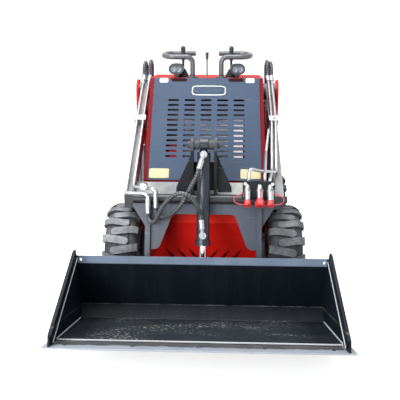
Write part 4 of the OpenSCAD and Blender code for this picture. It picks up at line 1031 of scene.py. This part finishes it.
def barrel_paint():
    """Black cylinder paint; the fittings that stand out in front of the barrel are plated."""
    tree, shader = begin("barrel_black")
    x, y, _ = about_pin(tree, TILT_PIN, TILT_ANGLE)
    plated = times(below(y, -0.0375), within(x, 0.060))
    black = shaded(tree, (0.009, 0.016, 0.030), 0.15, 3.0)
    base = mixed(plated, black, (0.40, 0.41, 0.43, 1))
    finish(shader, base, 0.34, scuffs=0.08, dust=0.04)
    skin(shader, coat=0.05, coat_rough=0.03)


def mast_paint():
    """Black mast; its head and pin, above a height, are a lighter slate as a painted highlight."""
    tree, shader = begin("mast_black")
    # Painted highlight: the head and pin, above a height, are mixed towards a lighter slate.
    head = ramp(split(place_of(tree))["Z"], TILT_PIN[2] - 0.027, TILT_PIN[2] - 0.020)
    black = shaded(tree, (0.010, 0.012, 0.016), 0.12, 2.5)
    base = mixed(head, black, (0.066, 0.072, 0.082, 1))
    finish(shader, base, 0.45, scuffs=0.12, dust=0.06)
    skin(shader, shine=0.2)


def bucket_paint():
    """Near-black paint: faint streaks, dirt along the floor, and a lighter, bluish top flange."""
    tree, shader = begin("bucket_black")
    x, _, height = about_pin(tree, BUCKET_PIN, -BUCKET_ROLL)
    place = place_of(tree)
    upright = mapped(place, Scale=(26.0, 2.0, 2.0))
    streaks = times(ramp(noise(tree, 1.0, 5.0, upright, 0.65), 0.50, 0.78), 0.06)
    base = mixed(streaks, (0.006, 0.009, 0.014, 1), (0.14, 0.17, 0.20, 1))
    fold = within(minus(height, FOLD[1]), 0.0022)
    fold = times(fold, ramp(noise(tree, 30.0, 4.0), 0.35, 0.65))
    base = mixed(times(fold, 0.4), base, (0.30, 0.30, 0.29, 1))
    on_floor = below(height, LIP[1] + 0.003)
    on_floor = times(on_floor, rest(ramp(absolute(x), 0.36, 0.50)))
    base = mixed(times(on_floor, 0.35), base, (0.045, 0.053, 0.062, 1))
    specks = ramp(noise(tree, 90.0, 4.0), 0.55, 0.66)
    long_way = mapped(place, Scale=(2.6, 9.0, 9.0))
    drifts = ramp(noise(tree, 1.0, 3.0, long_way), 0.44, 0.66)
    dirt = times(times(specks, drifts), times(on_floor, 0.8))
    base = mixed(dirt, base, PALE_DUST)
    flange = ramp(height, BACK_TOP[1] - 0.002, BACK_TOP[1] + 0.004)
    flange = times(flange, within(x, HALF - 0.008))
    base = mixed(flange, base, shaded(tree, (0.13, 0.168, 0.230), 0.30, 12.0))
    finish(shader, base, 0.45, scuffs=0.10, dust=0.02, bare=(0.05, 0.058, 0.070, 1),
           scuff_scale=4.0, dust_scale=7.0)
    shader.inputs["Specular IOR Level"].default_value = 0.12
    grained(shader, 90.0, 0.25, 0.0008)


def edge_paint():
    """Cutting edge: bare bright steel at the lip and at both ends, old dark paint back to the weld."""
    tree, shader = begin("edge_steel")
    x, y, _ = about_pin(tree, BUCKET_PIN, -BUCKET_ROLL)
    ragged = times(minus(noise(tree, 22.0, 4.0), 0.5), 0.05)
    worn = rest(ramp(plus(y, ragged), LIP[0] + 0.040, LIP[0] + 0.056))
    worn = maths("MAXIMUM", worn, above(absolute(x), HALF - 0.006))
    steel = shaded(tree, (0.30, 0.335, 0.39), 0.25, 9.0)
    base = mixed(worn, (0.020, 0.023, 0.028, 1), steel)
    finish(shader, base, 0.42, scuffs=0.35, dust=0.12)
    grained(shader, 120.0, 0.3, 0.0008)


def engine_grey():
    """What shows through the slots: pale fins low down in patches of painted light, painted shade above,
    and red at the left.

    A little light of its own stands for daylight that comes in from below.
    """
    tree, shader = begin("engine_grey")
    x, _, z = split(place_of(tree))
    fins = waves(tree, 24.0, "Z")
    patches = ramp(noise(tree, 9.0, 2.0), 0.40, 0.60)
    # Painted light: patches of the fins are lit pale.
    lit = times(patches, ramp(fins, 0.2, 0.8))
    pale = mixed(lit, (0.05, 0.055, 0.06, 1), (0.60, 0.61, 0.62, 1))
    red = mixed(patches, BLACK, (0.42, 0.012, 0.016, 1))
    low = mixed(below(x, -0.120), pale, red)
    low = mixed(above(x, 0.150), low, (0.80, 0.82, 0.86, 1))
    # Painted shade: above a height the inside is black.
    base = mixed(ramp(z, 0.86, 0.94), low, BLACK)
    finish(shader, base, 0.6)
    tree.links.new(base, shader.inputs["Emission Color"])
    shader.inputs["Emission Strength"].default_value = 0.7
    bumped(shader, 0.3, 0.001, fins)


def tread_plate():
    """Chequered platform: raised bars that cross, from two waves, in black paint."""
    tree, shader = begin("platform_black")
    ways = [mapped(place_of(tree), Rotation=(0, 0, turn)) for turn in (0.7854, -0.7854)]
    bars = maths("MAXIMUM", *[waves(tree, 16.0, "X", way) for way in ways])
    base = shaded(tree, (0.035, 0.036, 0.04), 0.2, 8.0)
    finish(shader, base, 0.5, scuffs=0.5, dust=0.5)
    bumped(shader, 0.6, 0.002, ramp(bars, 0.7, 0.9))


def clear_lens():
    """A clear cover that lets its reflectors show, with faint upright flutes."""
    tree, shader = begin("lamp_lens")
    finish(shader, shaded(tree, (0.24, 0.29, 0.35), 0.08, 20.0), 0.12, dust=0.05)
    shader.inputs["Alpha"].default_value = 0.45
    shader.inputs["Coat Weight"].default_value = 0.2
    bumped(shader, 0.15, 0.0006, waves(tree, 60.0, "X"))


def hose_rubber():
    """Black hose with a paler plastic spiral, told apart by the ridge value that each hose carries."""
    tree, shader = begin("hose_rubber")
    ridge = new_node(tree, "ShaderNodeAttribute", attribute_name="ridge").outputs["Fac"]
    spiral = ramp(ridge, 0.05, 0.45)
    base = mixed(spiral, (0.016, 0.018, 0.021, 1), (0.066, 0.071, 0.080, 1))
    finish(shader, base, 0.30, dust=0.15)
    grained(shader, 700.0, 0.2, 0.0004)


def lever_steel():
    """Bright rod with a black knob above a height."""
    tree, shader = begin("lever_steel")
    knob = ramp(split(place_of(tree))["Z"], 1.2365, 1.2375)
    rod = shaded(tree, (0.20, 0.20, 0.21), 0.1, 30.0)
    finish(shader, mixed(knob, rod, (0.02, 0.02, 0.022, 1)), 0.35, scuffs=0.1, dust=0.1)
    grained(shader, 500.0, 0.2, 0.0003)


# Every look, under the name of its slot or under its own
body_paint()
hood_paint()
paint("panel_slate", (0.030, 0.054, 0.100), 0.50, 0.06, 0.03, shine=0.2)
arm_paint()
mast_paint()
bucket_paint()
edge_paint()
engine_grey()
tread_plate()
paint("handle_black", (0.070, 0.076, 0.090), 0.30, 0.12, 0.10, coat=0.4)
plastic("lamp_black", (0.022, 0.023, 0.026), 0.45)
clear_lens()
plastic("control_black", (0.015, 0.015, 0.016), 0.55)
lever_steel()
paint("hub_iron", (0.05, 0.05, 0.055), 0.55, 0.3, 0.5, peel=0.4)
metal("pipe_zinc", (0.52, 0.53, 0.55), 0.30, 0.08)
plastic("cap_red", (0.52, 0.03, 0.03), 0.38)
barrel_paint()
metal("rod_chrome", (0.80, 0.81, 0.83), 0.12, 0.05, 0.05)
tyre_rubber()
paint("rim_grey", (0.16, 0.165, 0.17), 0.45, 0.3, 0.5, coat=0.1)
hose_rubber()
metal("reflector", (0.22, 0.26, 0.32), 0.40, 0.0, 0.05)
# Painted shade for the notches under the lamps.
paint("notch_shade", (0.014, 0.002, 0.003), 0.6, 0.0, 0.0, shine=0.08)
metal("nut_grey", (0.26, 0.25, 0.245), 0.42)
paint("weld_bright", (0.42, 0.44, 0.46), 0.5, 0.6, 0.3, peel=0.5, vary=0.5)
plastic("plate_white", (0.80, 0.80, 0.79), 0.4, 0.1, 0.1)
plastic("plate_yellow", (0.52, 0.47, 0.26), 0.5, 0.05, 0.1)
print("materials", len(MATERIALS))

# %% Dress the solids and the pieces
NODE_LOOKS = {"hood": "hood_red"}
for subpart in frame["record"]["subparts"]:
    solid = NODES[subpart["node"]]
    solid.data.materials.clear()
    look = NODE_LOOKS.get(subpart["node"], subpart["material_slot"])
    solid.data.materials.append(MATERIALS[look])
for piece, look in dressed:
    piece.data.materials.append(MATERIALS[look])
print("dressed", len(NODES) + len(dressed))

# %% [markdown]
# The photograph is a cut-out on white, lit by a bright overcast sky with more light from the left.
# One large soft lamp overhead and two more, at the left and in front, do that. The floor is white
# and keeps a faint shadow under the wheels. Floor and sky shine white only for rays that show them:
# straight to the camera, off a mirror or through glass.

# %% Floor and light
FLOOR_HALF = 30.0
FLOOR_NEAR, FLOOR_FAR = 1.2, 3.2
NEAR_GLOW, FAR_GLOW = 0.62, 1.0
SKY_GLOW, SEEN_GLOW = 0.34, 0.72
SKY_TINT = (0.93, 0.96, 1.0, 1)
WHITE = (1, 1, 1, 1)


def seen_rays(tree):
    """One for rays that show the background, else nothing."""
    rays = new_node(tree, "ShaderNodeLightPath").outputs
    mirrored = maths("MAXIMUM", rays["Is Glossy Ray"], rays["Is Transmission Ray"])
    return maths("MAXIMUM", rays["Is Camera Ray"], mirrored)


corners = np.array([[-1, -1, 0], [1, -1, 0], [1, 1, 0], [-1, 1, 0]], float) * FLOOR_HALF
floor_mesh = bpy.data.meshes.new("floor")
floor_mesh.from_pydata(corners.tolist(), [], [[0, 1, 2, 3]])
floor = bpy.data.objects.new("floor", floor_mesh)
scene.collection.objects.link(floor)
tree, shader = begin("floor_white")
shader.inputs["Base Color"].default_value = (0.85, 0.85, 0.85, 1)
shader.inputs["Roughness"].default_value = 0.9
shader.inputs["Emission Color"].default_value = WHITE
x, y, _ = split(place_of(tree))
far = ramp(distance(x, y), FLOOR_NEAR, FLOOR_FAR)
glow = plus(NEAR_GLOW, times(far, FAR_GLOW - NEAR_GLOW))
tree.links.new(times(seen_rays(tree), glow), shader.inputs["Emission Strength"])
floor_mesh.materials.append(MATERIALS["floor_white"])

world = bpy.data.worlds.new("sky")
scene.world = world
world.use_nodes = True
sky = world.node_tree
seen = seen_rays(sky)
background = sky.nodes["Background"].inputs
sky.links.new(mixed(seen, SKY_TINT, WHITE), background["Color"])
sky.links.new(plus(SKY_GLOW, times(seen, SEEN_GLOW)), background["Strength"])


def soft_lamp(name, place, target, size, power):
    """A square lamp that faces its target."""
    data = bpy.data.lights.new(name, "AREA")
    data.size = size
    data.energy = power
    lamp = bpy.data.objects.new(name, data)
    back = unit(np.subtract(place, target))
    side = unit(np.cross([0, 1, 0.01], back))
    lamp.matrix_world = placed(place, side, np.cross(back, side), back)
    scene.collection.objects.link(lamp)


soft_lamp("overhead", (-0.6, -0.6, 4.6), (0, 0, 0.6), size=3.0, power=240)
soft_lamp("left_sky", (-3.4, -4.2, 2.7), (0, -0.2, 0.4), size=2.2, power=125)
soft_lamp("front_sky", (-2.0, -4.5, 1.4), (0, -0.2, 0.4), size=2.4, power=120)
print("stage ready")
